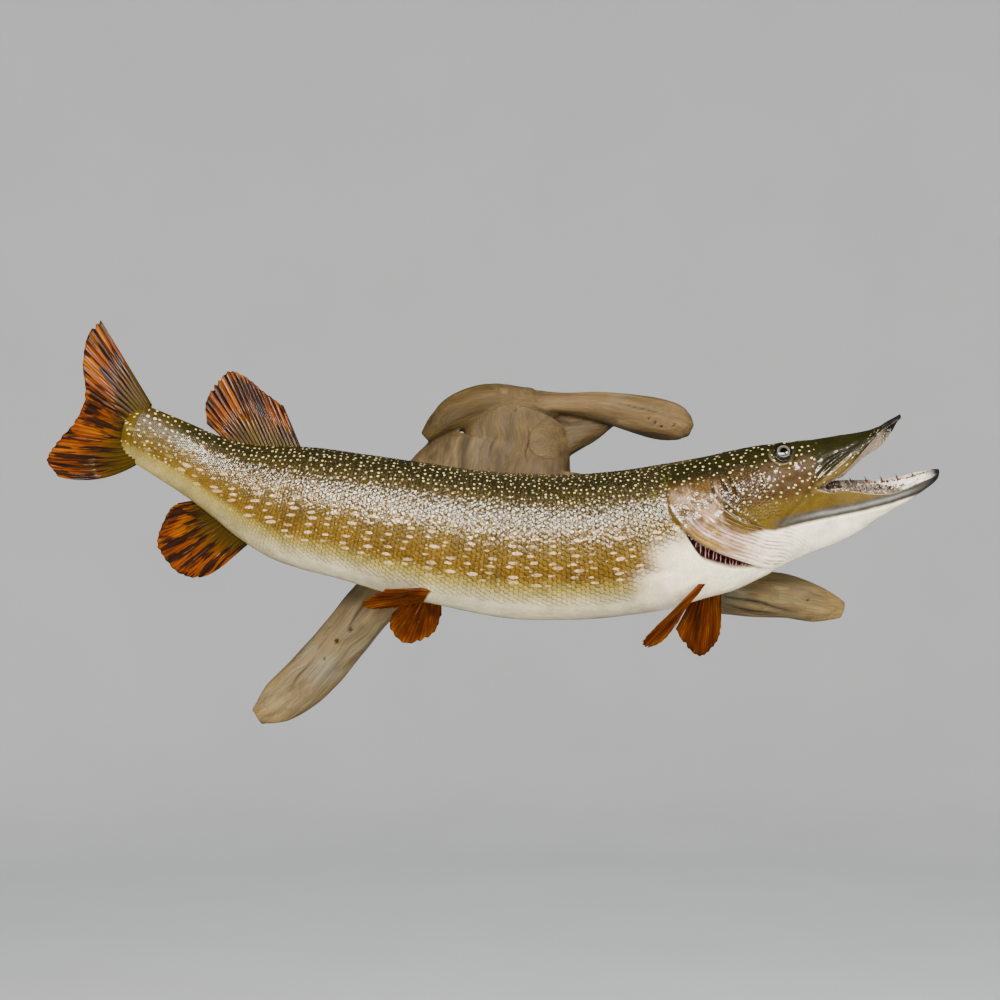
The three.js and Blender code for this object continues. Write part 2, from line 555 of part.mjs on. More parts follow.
// ---- the driftwood -------------------------------------------------------------------------------
// A limb: flattened rings across its centre line, with the shallow hollows and ridges of worn wood.
function limb(rows, seed) {
  const count = Math.round(1.4 * (rows.length - 1));
  const rings = [];
  for (let i = 0; i <= count; i += 1) {
    const t = (i / count) * (rows.length - 1);
    const row = rowAt(rows, t);
    const before = rowAt(rows, Math.max(t - 0.05, 0));
    const after = rowAt(rows, Math.min(t + 0.05, rows.length - 1));
    const along = new THREE.Vector2(after.x - before.x, after.z - before.z).normalize();
    const ring = [];
    for (let j = 0; j < WOOD_SIDES; j += 1) {
      const angle = (2 * Math.PI * j) / WOOD_SIDES;
      const wear = 1 + 0.035 * Math.sin(3 * angle + seed + 1.7 * t) + 0.025 * Math.sin(5 * angle - 2.3 * t);
      const across = row.wide * power(Math.sin(angle), 0.85) * wear;
      const depth = ((row.back - row.front) / 2) * power(Math.cos(angle), 0.85) * wear;
      const y = (row.front + row.back) / 2 - depth;
      ring.push(new THREE.Vector3(row.x - across * along.y, y, row.z + across * along.x));
    }
    rings.push(ring);
  }
  return loft(backwards(rings));
}

function woodParts() {
  const room = new THREE.BoxGeometry(1200, 200, 800).translate(0, WALL_Y - 100, 0);
  let wood = null;
  Object.values(WOOD).forEach((rows, seed) => {
    wood = wood ? wood.add(limb(rows, seed)) : limb(rows, seed);
  });
  const seat = tube(BODY, SADDLE.rings, SADDLE.clearance, SADDLE.facets);
  wood = wood.intersect(solidOf(room)).subtract(seat);
  const cells = {
    lobe: prism([...WOOD_CUTS.lobe, [-260, 52], [-260, 200], [-16, 200]], ...THROUGH),
    arm: prism([...WOOD_CUTS.arm, [300, 40], [300, 200], [58, 200]], ...THROUGH),
    limb_left: prism([...WOOD_CUTS.limb_left, [-30, -300], [-400, -300], [-400, -20]], ...THROUGH),
    limb_right: prism([...WOOD_CUTS.limb_right, [500, -20], [500, -300], [90, -300]], ...THROUGH),
  };
  for (const line of Object.values(WOOD_CUTS)) wood = wood.subtract(knife(line));
  const parts = {};
  let core = wood;
  for (const [name, cell] of Object.entries(cells)) {
    parts[`driftwood_${name}`] = wood.intersect(cell);
    core = core.subtract(cell);
  }
  parts.driftwood_core = core;
  return parts;
}

// ---- assembly ------------------------------------------------------------------------------------
const NODE_FINISH = {
  head: 'face', gill_cover_right: 'face', gill_cover_left: 'face', lower_jaw: 'face', throat: 'pale',
  tongue: 'tongue', gills_right: 'gill', gills_left: 'gill', eye_right: 'eye', eye_left: 'eye',
  trunk_front: 'flank', trunk_middle: 'flank', trunk_rear: 'flank',
};

const model = new THREE.Group();
const grownFish = wholeFish(GAP);
const solids = { ...fishParts(), ...woodParts() };
for (const name of Object.keys(FINS)) {
  solids[name] = finSolid(name).subtract(grownFish);
}
for (const [name, solid] of Object.entries(solids)) {
  const kind = NODE_FINISH[name] ?? (name.startsWith('driftwood') ? 'wood' : 'fin');
  const mesh = new THREE.Mesh(geometryFrom(solid), new THREE.MeshStandardMaterial(FINISHES[kind]));
  mesh.name = name;
  model.add(mesh);
}

export default model;
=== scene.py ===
"""A mounted northern pike on driftwood: skin, scales, fins, mouth, eyes and wood round the CAD frame.

Lengths are in millimetres until a mesh is made, in the frame that part.mjs uses: +X towards the head,
+Y into the wall and +Z up, with the wall at y = 0.
"""
import math

import bmesh
import bpy
import numpy as np
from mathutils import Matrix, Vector
from mathutils.bvhtree import BVHTree


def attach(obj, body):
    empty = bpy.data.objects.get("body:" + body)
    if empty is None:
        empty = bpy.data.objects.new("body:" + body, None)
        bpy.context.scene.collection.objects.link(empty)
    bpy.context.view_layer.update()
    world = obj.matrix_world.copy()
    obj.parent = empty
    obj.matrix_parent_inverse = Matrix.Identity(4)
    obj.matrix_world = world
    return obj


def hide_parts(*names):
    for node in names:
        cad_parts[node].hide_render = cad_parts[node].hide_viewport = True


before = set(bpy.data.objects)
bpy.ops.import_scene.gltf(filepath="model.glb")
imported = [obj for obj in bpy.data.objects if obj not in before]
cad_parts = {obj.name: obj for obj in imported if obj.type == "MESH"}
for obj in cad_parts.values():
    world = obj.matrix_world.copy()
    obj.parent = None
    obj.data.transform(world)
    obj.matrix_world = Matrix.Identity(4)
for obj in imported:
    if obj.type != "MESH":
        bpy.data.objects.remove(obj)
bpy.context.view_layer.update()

MM = 0.001
TAU = 2 * math.pi
rng = np.random.default_rng(11)

# ---- driving dimensions: the sections of part.mjs ------------------------------------------------
FISH_Y = -105.0
HEAD_PITCH = math.radians(12)
COS, SIN = math.cos(HEAD_PITCH), math.sin(HEAD_PITCH)
HEAD_ORIGIN = (175.0, -37.5)
COAT = 0.45  # how far the skin lies inside the CAD surface, to leave room for the scales

# x, y, z, pitch in degrees, half height, half width; the first row is the skin's hem on the tail fin.
TRUNK = np.array([
    [-391, -68.5, 72, -14, 29, 2.2],
    [-379, -70, 69, -15, 31, 8.5],
    [-341, -73, 50, -25, 34, 15],
    [-311, -76, 34, -26.5, 37, 19],
    [-281, -81, 19.5, -24, 44, 25],
    [-252, -86, 7, -20, 53.5, 31],
    [-222, -91, -3, -15.5, 61, 36],
    [-193, -96, -9.5, -12.5, 64.5, 40],
    [-148, -101, -18.5, -12, 67, 44],
    [-103, -104, -28.5, -11, 70.5, 46.5],
    [-44, -105, -39.5, -9, 73, 48.5],
    [16, -105, -48, -4, 76, 49.5],
    [76, -105, -49, 2.2, 76, 49.5],
    [120, -105, -45.6, 6.5, 75.6, 49],
    [163, -105, -39.5, 11, 75.2, 48],
])
TRUNK_ROUNDNESS = (2.15, 2.1)
# u, top, level, bottom, half width, crown, keel, roll in degrees
HEAD = np.array([
    [25, 74.5, -3, -71.5, 47.5, 2.3, 2.1, 0],
    [55, 73.5, -4, -69.5, 46.5, 2.4, 2, 0],
    [85, 74, 0, -63, 42.5, 2.6, 1.9, 0],
    [112, 73, 7, -55, 38, 2.7, 1.9, 0],
    [136, 71.5, 12.5, -49.5, 34, 2.8, 1.9, 0],
    [156, 70, 16, -46.5, 31, 2.8, 1.9, 0],
])
UPPER_JAW = np.array([
    [170, 68.5, 21, 17, 29.5, 2.6, 2, 0],
    [190, 67.5, 29, 24, 27.5, 2.5, 2, 0],
    [205, 66.5, 39, 33, 25.5, 2.4, 2, 0],
    [220, 66, 50, 41, 23, 2.3, 2, 0],
    [235, 67, 60, 47, 20, 2.2, 2, 0],
    [248, 69, 66, 58, 15.5, 2.1, 2, 0],
    [257, 70.5, 69, 65, 10, 2, 2, 0],
    [262, 72, 71, 69.5, 3.5, 2, 2, 0],
])
LOWER_JAW = np.array([
    [170, 18, 13.5, -44, 29.5, 2, 1.9, 7],
    [190, 16, 12, -38.5, 27.5, 2, 1.9, 9.5],
    [210, 11, 6.5, -30, 25.5, 2, 1.9, 14],
    [230, 6.5, 2.4, -22.5, 22, 2, 1.9, 17.5],
    [248, 6, 2.4, -17, 18.5, 2, 1.9, 17],
    [262, 7.5, 3.8, -11.5, 14.5, 2, 1.9, 17],
    [274, 9.5, 5.6, -6.5, 10.8, 2, 1.9, 22],
    [282, 11.5, 7.4, -2.5, 8, 2, 1.9, 30],
    [287, 12.6, 8.2, 1, 5.6, 2, 1.9, 26],
    [289.5, 13, 9.6, 5.5, 2.6, 2, 1.9, 10],
])
CORNER_U = 156.0
EYE = dict(u=132.0, v=59.6, lateral=19.0, radius=10.4, depth=6.7, tilt=math.radians(20))
LID = 7.5  # radius of the opening between the lids

# Lines on the side of the head, as [u, v].
GILL_EDGE = [[10, 62], [5, 40], [4, 22], [12, 7], [22, -8], [40, -24], [58, -36], [84, -50], [104, -57]]
SLIT_UPPER = [[12, 7], [22, -8], [40, -24], [58, -36], [84, -50]]
SLIT_LOWER = [[84, -50], [72, -49.5], [59, -47], [47, -42], [33, -34], [23, -24], [12, 7]]
MANDIBLE_EDGE = [[93, -13], [105, -16], [137, -15], [201, -15.5], [233, -14.5], [266, -10.5], [292, 0]]
CREASES = {  # line, depth, half width
    "cover_front": ([[55, 56], [51.5, 44], [52.5, 33], [58, 21], [69, 8], [82, -3], [92, -13]], 2.4, 1.2),
    "cheek_rear": ([[66, 59], [70, 49], [72.5, 36], [73.5, 24]], 2.0, 1.1),
    "cheek_rear_2": ([[61, 50], [64, 38], [67, 27]], 1.4, 0.9),
    "below_orbit": ([[112, 47], [124, 36], [138, 22], [146, 15]], 0.3, 3.0),
    "jaw_crease": ([[148, 14], [137, 6], [125, -1], [116, -8], [108, -14]], 0.6, 1.6),
    "maxilla_top": ([[152, 22], [166, 33], [181, 42], [199, 48]], 1.2, 1.2),
    "maxilla": ([[147, 14.5], [170, 29], [187, 38.5], [198, 44]], 1.1, 0.9),
    "snout_fold": ([[158, 33], [169, 43.5], [182, 48], [196, 50], [214, 56]], 0.6, 1.5),
    "mandible": (MANDIBLE_EDGE[1:6], 1.2, 1.3),
    "nostril": ([[149, 64.2], [152.5, 64.4]], 1.4, 1.1),
}


# ---- numbers and curves --------------------------------------------------------------------------
def catmull(rows, t):
    """Rows blended by a Catmull-Rom curve at positions t, counted in rows, as part.mjs does."""
    rows = np.asarray(rows, float)
    rows = np.vstack([2 * rows[0] - rows[1], rows, 2 * rows[-1] - rows[-2]])
    t = np.atleast_1d(np.asarray(t, float))
    i = np.clip(np.floor(t).astype(int), 0, len(rows) - 4)
    f = (t - i)[:, None]
    a, b, c, d = rows[i], rows[i + 1], rows[i + 2], rows[i + 3]
    return 0.5 * (2 * b + (c - a) * f + (2 * a - 5 * b + 4 * c - d) * f**2 + (3 * b - a - 3 * c + d) * f**3)


def smoothstep(low, high, x):
    f = np.clip((x - low) / (high - low), 0, 1)
    return f * f * (3 - 2 * f)


def window(x, a, b, c, d):
    """1 between b and c, going smoothly to 0 at a and at d."""
    return smoothstep(a, b, x) * smoothstep(d, c, x)


def bell(x, width):
    return np.exp(-((x / width) ** 2))


def unit(vectors):
    return vectors / np.maximum(np.linalg.norm(vectors, axis=-1, keepdims=True), 1e-9)


def hashed(i, seed):
    h = (i[:, 0] * 73856093) ^ (i[:, 1] * 19349663) ^ (i[:, 2] * 83492791) ^ (seed * 2654435761)
    h = ((h ^ (h >> 13)) * 1274126177) & 0x7FFFFFFF
    h = (h ^ (h >> 16)) & 0xFFFFF
    return h / 0xFFFFF * 2 - 1


def noise3(p, seed=0):
    """Smooth value noise between -1 and 1."""
    i = np.floor(p).astype(np.int64)
    f = p - i
    f = f * f * (3 - 2 * f)
    out = np.zeros(len(p))
    for corner in range(8):
        o = np.array([corner & 1, corner >> 1 & 1, corner >> 2 & 1])
        w = np.prod(np.where(o, f, 1 - f), axis=1)
        out += w * hashed(i + o, seed)
    return out


def fractal(p, octaves=4, seed=0):
    return sum(noise3(p * 2**k, seed + k) / 2**k for k in range(octaves)) / 1.9


def head_to_world(u, v, lateral):
    """Points of the head's own frame: u towards the snout, v up and lateral into the room."""
    u, v, lateral = np.broadcast_arrays(u, v, lateral)
    x, z = HEAD_ORIGIN[0] + u * COS - v * SIN, HEAD_ORIGIN[1] + u * SIN + v * COS
    return np.stack([x, FISH_Y - lateral, z], -1)


def world_to_head(p):
    x, z = p[..., 0] - HEAD_ORIGIN[0], p[..., 2] - HEAD_ORIGIN[1]
    return x * COS + z * SIN, z * COS - x * SIN, FISH_Y - p[..., 1]


def to_line(p, line):
    """Distance from 2-D points to a polyline, positive on its left, and the place along it, 0 to 1."""
    line = np.asarray(line, float)
    best = np.full(len(p), 1e9)
    signed = np.zeros(len(p))
    place = np.zeros(len(p))
    for k, (a, b) in enumerate(zip(line[:-1], line[1:])):
        ab = b - a
        f = np.clip((p - a) @ ab / (ab @ ab), 0, 1)
        off = p - (a + f[:, None] * ab)
        d = np.hypot(off[:, 0], off[:, 1])
        side = ab[0] * (p[:, 1] - a[1]) - ab[1] * (p[:, 0] - a[0])
        closer = d < best
        best = np.where(closer, d, best)
        signed = np.where(closer, np.where(side >= 0, d, -d), signed)
        place = np.where(closer, (k + f) / (len(line) - 1), place)
    return signed, place


def fine_line(line, steps=8):
    return catmull(line, np.linspace(0, len(line) - 1, (len(line) - 1) * steps + 1))


def to_curve(p, line, steps=8):
    """The same for a smooth curve through the points of a line."""
    return to_line(p, fine_line(line, steps))


# ---- the surface of the fish ---------------------------------------------------------------------
# Sections as x, y, z, pitch, up, down, half width, crown, keel, roll
def head_rows(rows):
    centre = head_to_world(rows[:, 0], rows[:, 2], 0)
    pitch = np.full(len(rows), math.degrees(HEAD_PITCH))
    return np.column_stack([centre, pitch, rows[:, 1] - rows[:, 2], rows[:, 2] - rows[:, 3], rows[:, 4:8]])


trunk_rows = np.column_stack([
    TRUNK[:, :4], TRUNK[:, 4], TRUNK[:, 4], TRUNK[:, 5],
    np.tile(TRUNK_ROUNDNESS, (len(TRUNK), 1)), np.zeros(len(TRUNK)),
])
BODY = np.vstack([trunk_rows, head_rows(HEAD)])
N_TRUNK = len(TRUNK)
CORNER_T = len(BODY) - 1


def section_points(sections, theta, grow=-COAT):
    """Points of sections at angles from the crown, over the room side first."""
    x, y, z, pitch, up, down, wide, crown, keel, roll = (c[:, None] for c in sections.T)
    c, s = np.cos(theta)[None], np.sin(theta)[None]
    above = c >= 0
    exponent = 2 / np.where(above, crown, keel)
    across = (wide + grow) * np.sign(s) * np.abs(s) ** exponent
    rise = (np.where(above, up, down) + grow) * np.sign(c) * np.abs(c) ** exponent
    rise = rise - across * np.sin(np.radians(roll))
    pitch = np.radians(pitch)
    return np.stack([x - rise * np.sin(pitch), y - across, z + rise * np.cos(pitch)], -1)


# Length along the fish: dense table from row number to millimetres from the tail base.
dense_t = np.linspace(0, CORNER_T, 1200)
axis_rows = np.vstack([TRUNK[:, [0, 2]], head_to_world(HEAD[:, 0], 0.0, 0.0)[:, [0, 2]]])
axis_xz = catmull(axis_rows, dense_t)
dense_s = np.r_[0, np.cumsum(np.hypot(*np.diff(axis_xz, axis=0).T))]
S_NAPE = float(np.interp(N_TRUNK - 1, dense_t, dense_s)) + 12  # where u is 0


def paced(start, stop, step):
    return np.linspace(start, stop, max(2, int(round((stop - start) / step)) + 1))


SIDES = 220  # vertices round a section; the corners of the mouth are at a quarter and three quarters
HALF = SIDES // 2  # the column of the keel
HEM_LENGTH = 30.0
FINE_FROM, FINE_TO = S_NAPE - 14, S_NAPE + 108  # the rings are closest round the gill opening
ring_s = np.r_[
    paced(0, HEM_LENGTH, 2.0)[:-1], paced(HEM_LENGTH, FINE_FROM, 3.6)[:-1],
    paced(FINE_FROM, FINE_TO, 1.15)[:-1], paced(FINE_TO, dense_s[-1], 1.5),
]
theta = np.arange(SIDES) / SIDES * TAU
body_grid = section_points(catmull(BODY, np.interp(ring_s, dense_s, dense_t)), theta)

# The hem of the skin bulges back over the tail fin's root.
hem = smoothstep(HEM_LENGTH, 0, ring_s)[:, None] * (np.sin(theta)[None] ** 2)
body_grid[..., 0] -= 9 * hem
body_grid[..., 2] += 2 * hem

LIP_NEAR, LIP_FAR = SIDES // 4, 3 * SIDES // 4
upper_cols = np.arange(LIP_FAR, LIP_FAR + HALF + 1) % SIDES
lower_cols = np.arange(LIP_NEAR, LIP_FAR + 1)
JAW_STEP = 1.6


def jaw_sections(jaw):
    """Sections from just past the corner of the mouth to the tip, smooth with the head behind them."""
    rows = np.vstack([BODY[-2:], head_rows(jaw)])
    u = np.r_[HEAD[-2:, 0], jaw[:, 0]]
    t = np.linspace(1, len(rows) - 1, 400)
    u_at = catmull(u[:, None], t)[:, 0]
    want = paced(CORNER_U, u[-1], JAW_STEP)[1:]
    return catmull(rows, np.interp(want, u_at, t)), want


upper_sections, upper_u = jaw_sections(UPPER_JAW)
lower_sections, lower_u = jaw_sections(LOWER_JAW)
upper_grid = section_points(upper_sections, theta[upper_cols])
lower_grid = section_points(lower_sections, theta[lower_cols])

# Inside of the mouth: columns from one lip to the other.
MOUTH_COLUMNS = 41
q = np.linspace(-1, 1, MOUTH_COLUMNS)


def palate_shape(q, drop):
    """Height above the lip line: a groove inside the lip, then the hanging pads of the palate."""
    groove = 3.0 * np.sin(np.clip((np.abs(q) - 0.62) / 0.38, 0, 1) * math.pi) ** 2
    pad = -(drop + 1.5) * np.cos(np.clip(np.abs(q) / 0.66, 0, 1) * math.pi / 2) ** 1.2
    return groove + pad + 1.2 * bell(np.abs(q) - 0.2, 0.07) * (drop > 2)


def floor_shape(q, deep):
    """Depth below the lip line of the trough between the rami."""
    wall = 1 - np.clip(np.abs(q) / 0.9, 0, 1) ** 3.2
    gum = 3.4 * smoothstep(3, 8, deep) * bell(np.abs(q) - 0.89, 0.055)
    return -deep * wall + gum * smoothstep(1.0, 0.94, np.abs(q))


def mouth_rows(u, level, wide, roll, shape, amount):
    lateral = -q[None] * wide[:, None]
    height = shape(q[None], amount[:, None]) - lateral * np.sin(np.radians(roll))[:, None]
    return head_to_world(u[:, None], level[:, None] + height, lateral)


def lip_of(sections):
    """Place, level, half width and roll of jaw sections, in the head's frame, at the coat's depth."""
    u, v, _ = world_to_head(sections[:, :3])
    return u, v, sections[:, 6] - COAT, sections[:, 9]


UPPER_LIP = lip_of(upper_sections)
u_up, v_up, w_up, _ = UPPER_LIP
palate_drop = np.maximum(upper_sections[:, 5], 2.5) * smoothstep(262, 250, u_up)
inner_upper = mouth_rows(*UPPER_LIP, palate_shape, palate_drop)
LOWER_LIP = lip_of(lower_sections)
u_lo, v_lo, w_lo, r_lo = LOWER_LIP
trough = np.interp(u_lo, [156, 175, 210, 248, 270, 284, 288], [18, 19, 17, 13, 7, 2, 0.5])
inner_lower = mouth_rows(*LOWER_LIP, floor_shape, trough)

# The gullet: closed rings from the corner of the mouth back into the throat.
GULLET_U = np.array([154, 150, 144, 136, 127, 118, 110, 104, 101.0])
gullet_wide = np.interp(GULLET_U, [101, 104, 110, 120, 150, 156], [3, 8, 12, 17, 23, 30])
gullet_level = np.interp(GULLET_U, [101, 150, 156], [8, 13, 16])
gullet_up = np.interp(GULLET_U, [101, 110, 150, 156], [1.5, 5, 8, 5])
gullet_down = np.interp(GULLET_U, [101, 110, 130, 156], [1.5, 6, 13, 18])
roof_v = gullet_level[:, None] + gullet_up[:, None] * (1 - q[None] ** 2)
floor_v = gullet_level[:, None] - gullet_down[:, None] * (1 - np.abs(q[None]) ** 2.5)
roof = head_to_world(GULLET_U[:, None], roof_v, -q[None] * gullet_wide[:, None])
floor = head_to_world(GULLET_U[:, None], floor_v, q[None] * gullet_wide[:, None])


# ---- displacement of the skin: folds, grooves and the gill opening -------------------------------
def slit_mask(u, v):
    """1 inside the crescent gill opening below the cover, 0 outside, with a soft rim."""
    p = np.stack([u, v], -1)
    upper, lower = to_curve(p, SLIT_UPPER)[0], to_curve(p, SLIT_LOWER[::-1])[0]
    return smoothstep(0.2, -1.0, upper) * smoothstep(-0.4, 1.0, lower) * window(u, 11, 18, 76, 84)


def relief(p):
    """Height of the skin over its smooth form, at undisturbed points of the head and shoulders."""
    u, v, lateral = world_to_head(p)
    uv, aside = np.stack([u, v], -1), np.abs(lateral)
    outer = smoothstep(10, 20, aside)
    height = np.zeros(len(p))
    # the raised edge of the gill cover, the step behind it, the opening and the folds in front
    d, place = to_curve(uv, GILL_EDGE)
    ends = window(place, 0, 0.08, 0.9, 1.0) * smoothstep(66, 56, v)
    low = smoothstep(20, 6, v)
    flap = (1.3 + 1.1 * low) * np.exp(-np.maximum(d, 0) / 13)
    behind = -(1.2 + 1.1 * low) * np.exp(np.minimum(d, 0) / 5)
    height += outer * ends * np.where(d > 0, flap, behind) * smoothstep(0, 2.2 - 1.5 * low, np.abs(d))
    height -= 8.5 * slit_mask(u, v) * outer
    folds = window(d, 2, 6, 30, 40) * smoothstep(16, -2, v) * window(u, 8, 30, 100, 150)
    height += outer * 0.45 * folds * np.sin(TAU * d / 7.0 + 0.8 * noise3(p * 0.05, 3))
    for line, depth, width in CREASES.values():
        dist, along = to_curve(uv, line)
        strength = smoothstep(8, 16, aside) * depth * np.sin(np.clip(along, 0.02, 0.98) * math.pi) ** 0.4
        height += strength * (0.35 * bell(np.abs(dist) - 2.6 * width, 1.4 * width) - bell(dist, width))
    # the orbit, the flat crown between its two ridges, and the grain of the bone
    orbit = np.hypot(u - EYE["u"], (v - EYE["v"]) * 1.02)
    height += smoothstep(11, 17, aside) * 0.3 * bell(orbit - 16.0, 1.2)
    height -= 1.3 * smoothstep(16, 4, aside) * window(u, 110, 135, 235, 262) * (v > 40)
    height += 0.6 * bell(aside - 13, 2.2) * window(u, 70, 110, 200, 250) * (v > 45)
    cover = window(u, 4, 14, 52, 62) * window(v, -6, 6, 50, 58) * (d > 0)
    height += smoothstep(5, 30, u) * (0.5 * fractal(p * 0.13, 3, 21) + 0.12 * fractal(p * 0.6, 2, 33))
    return height + outer * cover * (0.9 * fractal(p * 0.085, 2, 61) + 0.35 * noise3(p * 0.24, 62))


def body_relief(p, s, fraction):
    """Soft unevenness of the trunk: muscle bands and the wrinkles of the belly."""
    height = 0.35 * fractal(p * 0.03, 3, 5)
    belly = smoothstep(0.7, 0.85, fraction) * smoothstep(40, 120, s)
    return height + 0.25 * belly * fractal(p * np.array([0.05, 0.3, 0.3]), 3, 9)


def grid_normals(grid, closed):
    """Outward normals of a grid of points, whose columns close on themselves if closed."""
    across = np.roll(grid, -1, 1) - np.roll(grid, 1, 1) if closed else np.gradient(grid, axis=1)
    return unit(np.cross(across, np.gradient(grid, axis=0)))


def girth_fraction(grid):
    """How far down each point of closed rings is, as a part of the way from crown to keel, and in mm."""
    step = np.linalg.norm(np.roll(grid, -1, 1) - grid, axis=-1)
    run = np.concatenate([np.zeros((len(grid), 1)), np.cumsum(step, 1)], 1)
    half, total, down = run[:, HALF, None], run[:, -1, None], run[:, :-1]
    near = np.arange(SIDES)[None] <= HALF
    fraction = np.where(near, down / half, (total - down) / np.maximum(total - half, 1e-9))
    return fraction, np.where(near, down, total - down)


body_fraction, body_reach = girth_fraction(body_grid)
body_s = np.repeat(ring_s[:, None], SIDES, 1)


def at_corner(values, columns, rows):
    """The values of the corner ring at some columns, repeated over the rows of a jaw."""
    return np.repeat(values[-1, columns][None], rows, 0)


upper_fraction = at_corner(body_fraction, upper_cols, len(upper_grid))
lower_fraction = at_corner(body_fraction, lower_cols, len(lower_grid))
upper_s = np.repeat((S_NAPE + upper_u)[:, None], HALF + 1, 1)
lower_s = np.repeat((S_NAPE + lower_u)[:, None], HALF + 1, 1)


def raised(grid, normals, s, fraction):
    flat = grid.reshape(-1, 3)
    height = relief(flat) + body_relief(flat, s.ravel(), fraction.ravel())
    return grid + normals * height.reshape(grid.shape[:2])[..., None]


skin_body = raised(body_grid, grid_normals(body_grid, True), body_s, body_fraction)
lip_fade = np.minimum(1, np.abs(np.linspace(-1, 1, HALF + 1) ** 2 - 1) * 6)[None, :, None]


def raised_jaw(grid, columns, s, fraction):
    """The skin of a jaw, whose relief fades at the lips."""
    joined = np.concatenate([body_grid[-2:, columns], grid])
    return raised(grid, grid_normals(joined, False)[2:] * lip_fade, s, fraction)


def eye_frame(sign):
    """Centre, outward axis and the two axes across it of the eye on one side of the head."""
    outward = np.array([0, -sign * math.cos(EYE["tilt"]), math.sin(EYE["tilt"])])
    first = np.array([1.0, 0, 0])
    centre = head_to_world(EYE["u"], EYE["v"], sign * EYE["lateral"])
    return centre, outward, first, np.cross(outward, first)


def ball_height(r):
    return EYE["depth"] * np.sqrt(1 - (np.clip(r, 0, EYE["radius"] - 0.05) / EYE["radius"]) ** 2)


def lid_height(r):
    """Height of the lids over the plane of the eye: they hug the ball and then slope away."""
    return ball_height(np.minimum(r, 9.4)) + 0.7 - 0.3 * np.maximum(r - 9.4, 0)


def with_sockets(grid):
    """The skin brought to the height of the lids round each eye, and sunk beneath the ball."""
    for sign in (1, -1):
        centre, outward, first, second = eye_frame(sign)
        off = grid - centre
        a, r = off @ outward, np.hypot(off @ first, off @ second)
        w = smoothstep(14.0, 10.2, r) * (sign * (FISH_Y - grid[..., 1]) > 3)
        wanted = lid_height(r) - 0.5 * smoothstep(11.4, 10.2, r) - 5 * smoothstep(9.8, 8.4, r)
        grid = grid + outward * (w * (wanted - a))[..., None]
    return grid


skin_body = with_sockets(skin_body)
skin_upper = raised_jaw(upper_grid, upper_cols, upper_s, upper_fraction)
skin_lower = raised_jaw(lower_grid, lower_cols, lower_s, lower_fraction)
# The corner ring is shared, so its lips are taken from the smooth form.
skin_body[-1, [LIP_NEAR, LIP_FAR]] = body_grid[-1, [LIP_NEAR, LIP_FAR]]


# ---- meshes --------------------------------------------------------------------------------------
def make_object(name, verts, faces, material, attributes=None, uv=None):
    """An object from points in mm and an array or list of faces, with named point attributes."""
    me = bpy.data.meshes.new(name)
    verts = np.asarray(verts, float).reshape(-1, 3) * MM
    groups = faces if isinstance(faces, list) else [faces]
    loops = np.concatenate([g.ravel() for g in groups]).astype(np.int32)
    sizes = np.concatenate([np.full(len(g), g.shape[1]) for g in groups]).astype(np.int32)
    me.vertices.add(len(verts))
    me.vertices.foreach_set("co", verts.ravel())
    me.loops.add(len(loops))
    me.loops.foreach_set("vertex_index", loops)
    me.polygons.add(len(sizes))
    me.polygons.foreach_set("loop_start", np.r_[0, np.cumsum(sizes)[:-1]].astype(np.int32))
    me.polygons.foreach_set("loop_total", sizes)
    me.update(calc_edges=True)
    me.validate()
    me.polygons.foreach_set("use_smooth", np.ones(len(me.polygons), bool))
    for key, values in (attributes or {}).items():
        kind, field = ("FLOAT", "value") if values.ndim == 1 else ("FLOAT_VECTOR", "vector")
        me.attributes.new(key, kind, "POINT").data.foreach_set(field, values.ravel())
    if uv is not None:
        me.uv_layers.new(name="OFBake").data.foreach_set("uv", uv[loops].ravel())
    me.materials.append(material)
    obj = bpy.data.objects.new(name, me)
    bpy.context.scene.collection.objects.link(obj)
    return obj


def quads(index, closed=False, flip=False):
    """Quads over a grid of vertex numbers."""
    if closed:
        index = np.concatenate([index, index[:, :1]], 1)
    a, b = index[:-1, :-1].ravel(), index[:-1, 1:].ravel()
    c, d = index[1:, 1:].ravel(), index[1:, :-1].ravel()
    return np.stack([d, c, b, a] if flip else [a, b, c, d], -1)


def fan(loop, hub, flip=False):
    """Triangles from a closed loop of vertex numbers to a hub."""
    ahead, hub = np.roll(loop, -1), np.full(len(loop), hub)
    return np.stack([ahead, loop, hub] if flip else [loop, ahead, hub], -1)


class Builder:
    """Collects grids of points and their attributes into one mesh."""

    def __init__(self):
        self.points, self.faces, self.extra = [], [], {}
        self.count = 0

    def add(self, points, **extra):
        """Adds points, with one value or one row for each or for all, and returns their numbers."""
        shape = points.shape[:-1]
        n = int(np.prod(shape))
        self.points.append(points.reshape(-1, 3))
        for key, value in extra.items():
            value = np.asarray(value, float)
            if value.ndim == 0:
                value = np.full(n, float(value))
            elif value.shape == (3,):
                value = np.tile(value, (n, 1))
            else:
                value = value.reshape(n, -1) if value.size == 3 * n else value.reshape(n)
            self.extra.setdefault(key, []).append(value)
        index = np.arange(self.count, self.count + n).reshape(shape)
        self.count += n
        return index

    def face(self, faces):
        self.faces.append(faces)

    def tube(self, rings, start, stop, start_extra=None, stop_extra=None, **extra):
        """Adds closed rings of points and fans from the first and the last of them to two more points."""
        index = self.add(rings, **extra)
        hubs = [
            int(self.add(point[None], **{**extra, **(own or {})})[0])
            for point, own in ((start, start_extra), (stop, stop_extra))
        ]
        self.face(quads(index, closed=True))
        self.face(fan(index[0], hubs[0], flip=True))
        self.face(fan(index[-1], hubs[1]))

    def all(self):
        extra = {key: np.concatenate(values) for key, values in self.extra.items()}
        return np.concatenate(self.points), self.faces, extra

    def build(self, name, material):
        points, faces, extra = self.all()
        return make_object(name, points, faces, material, extra)


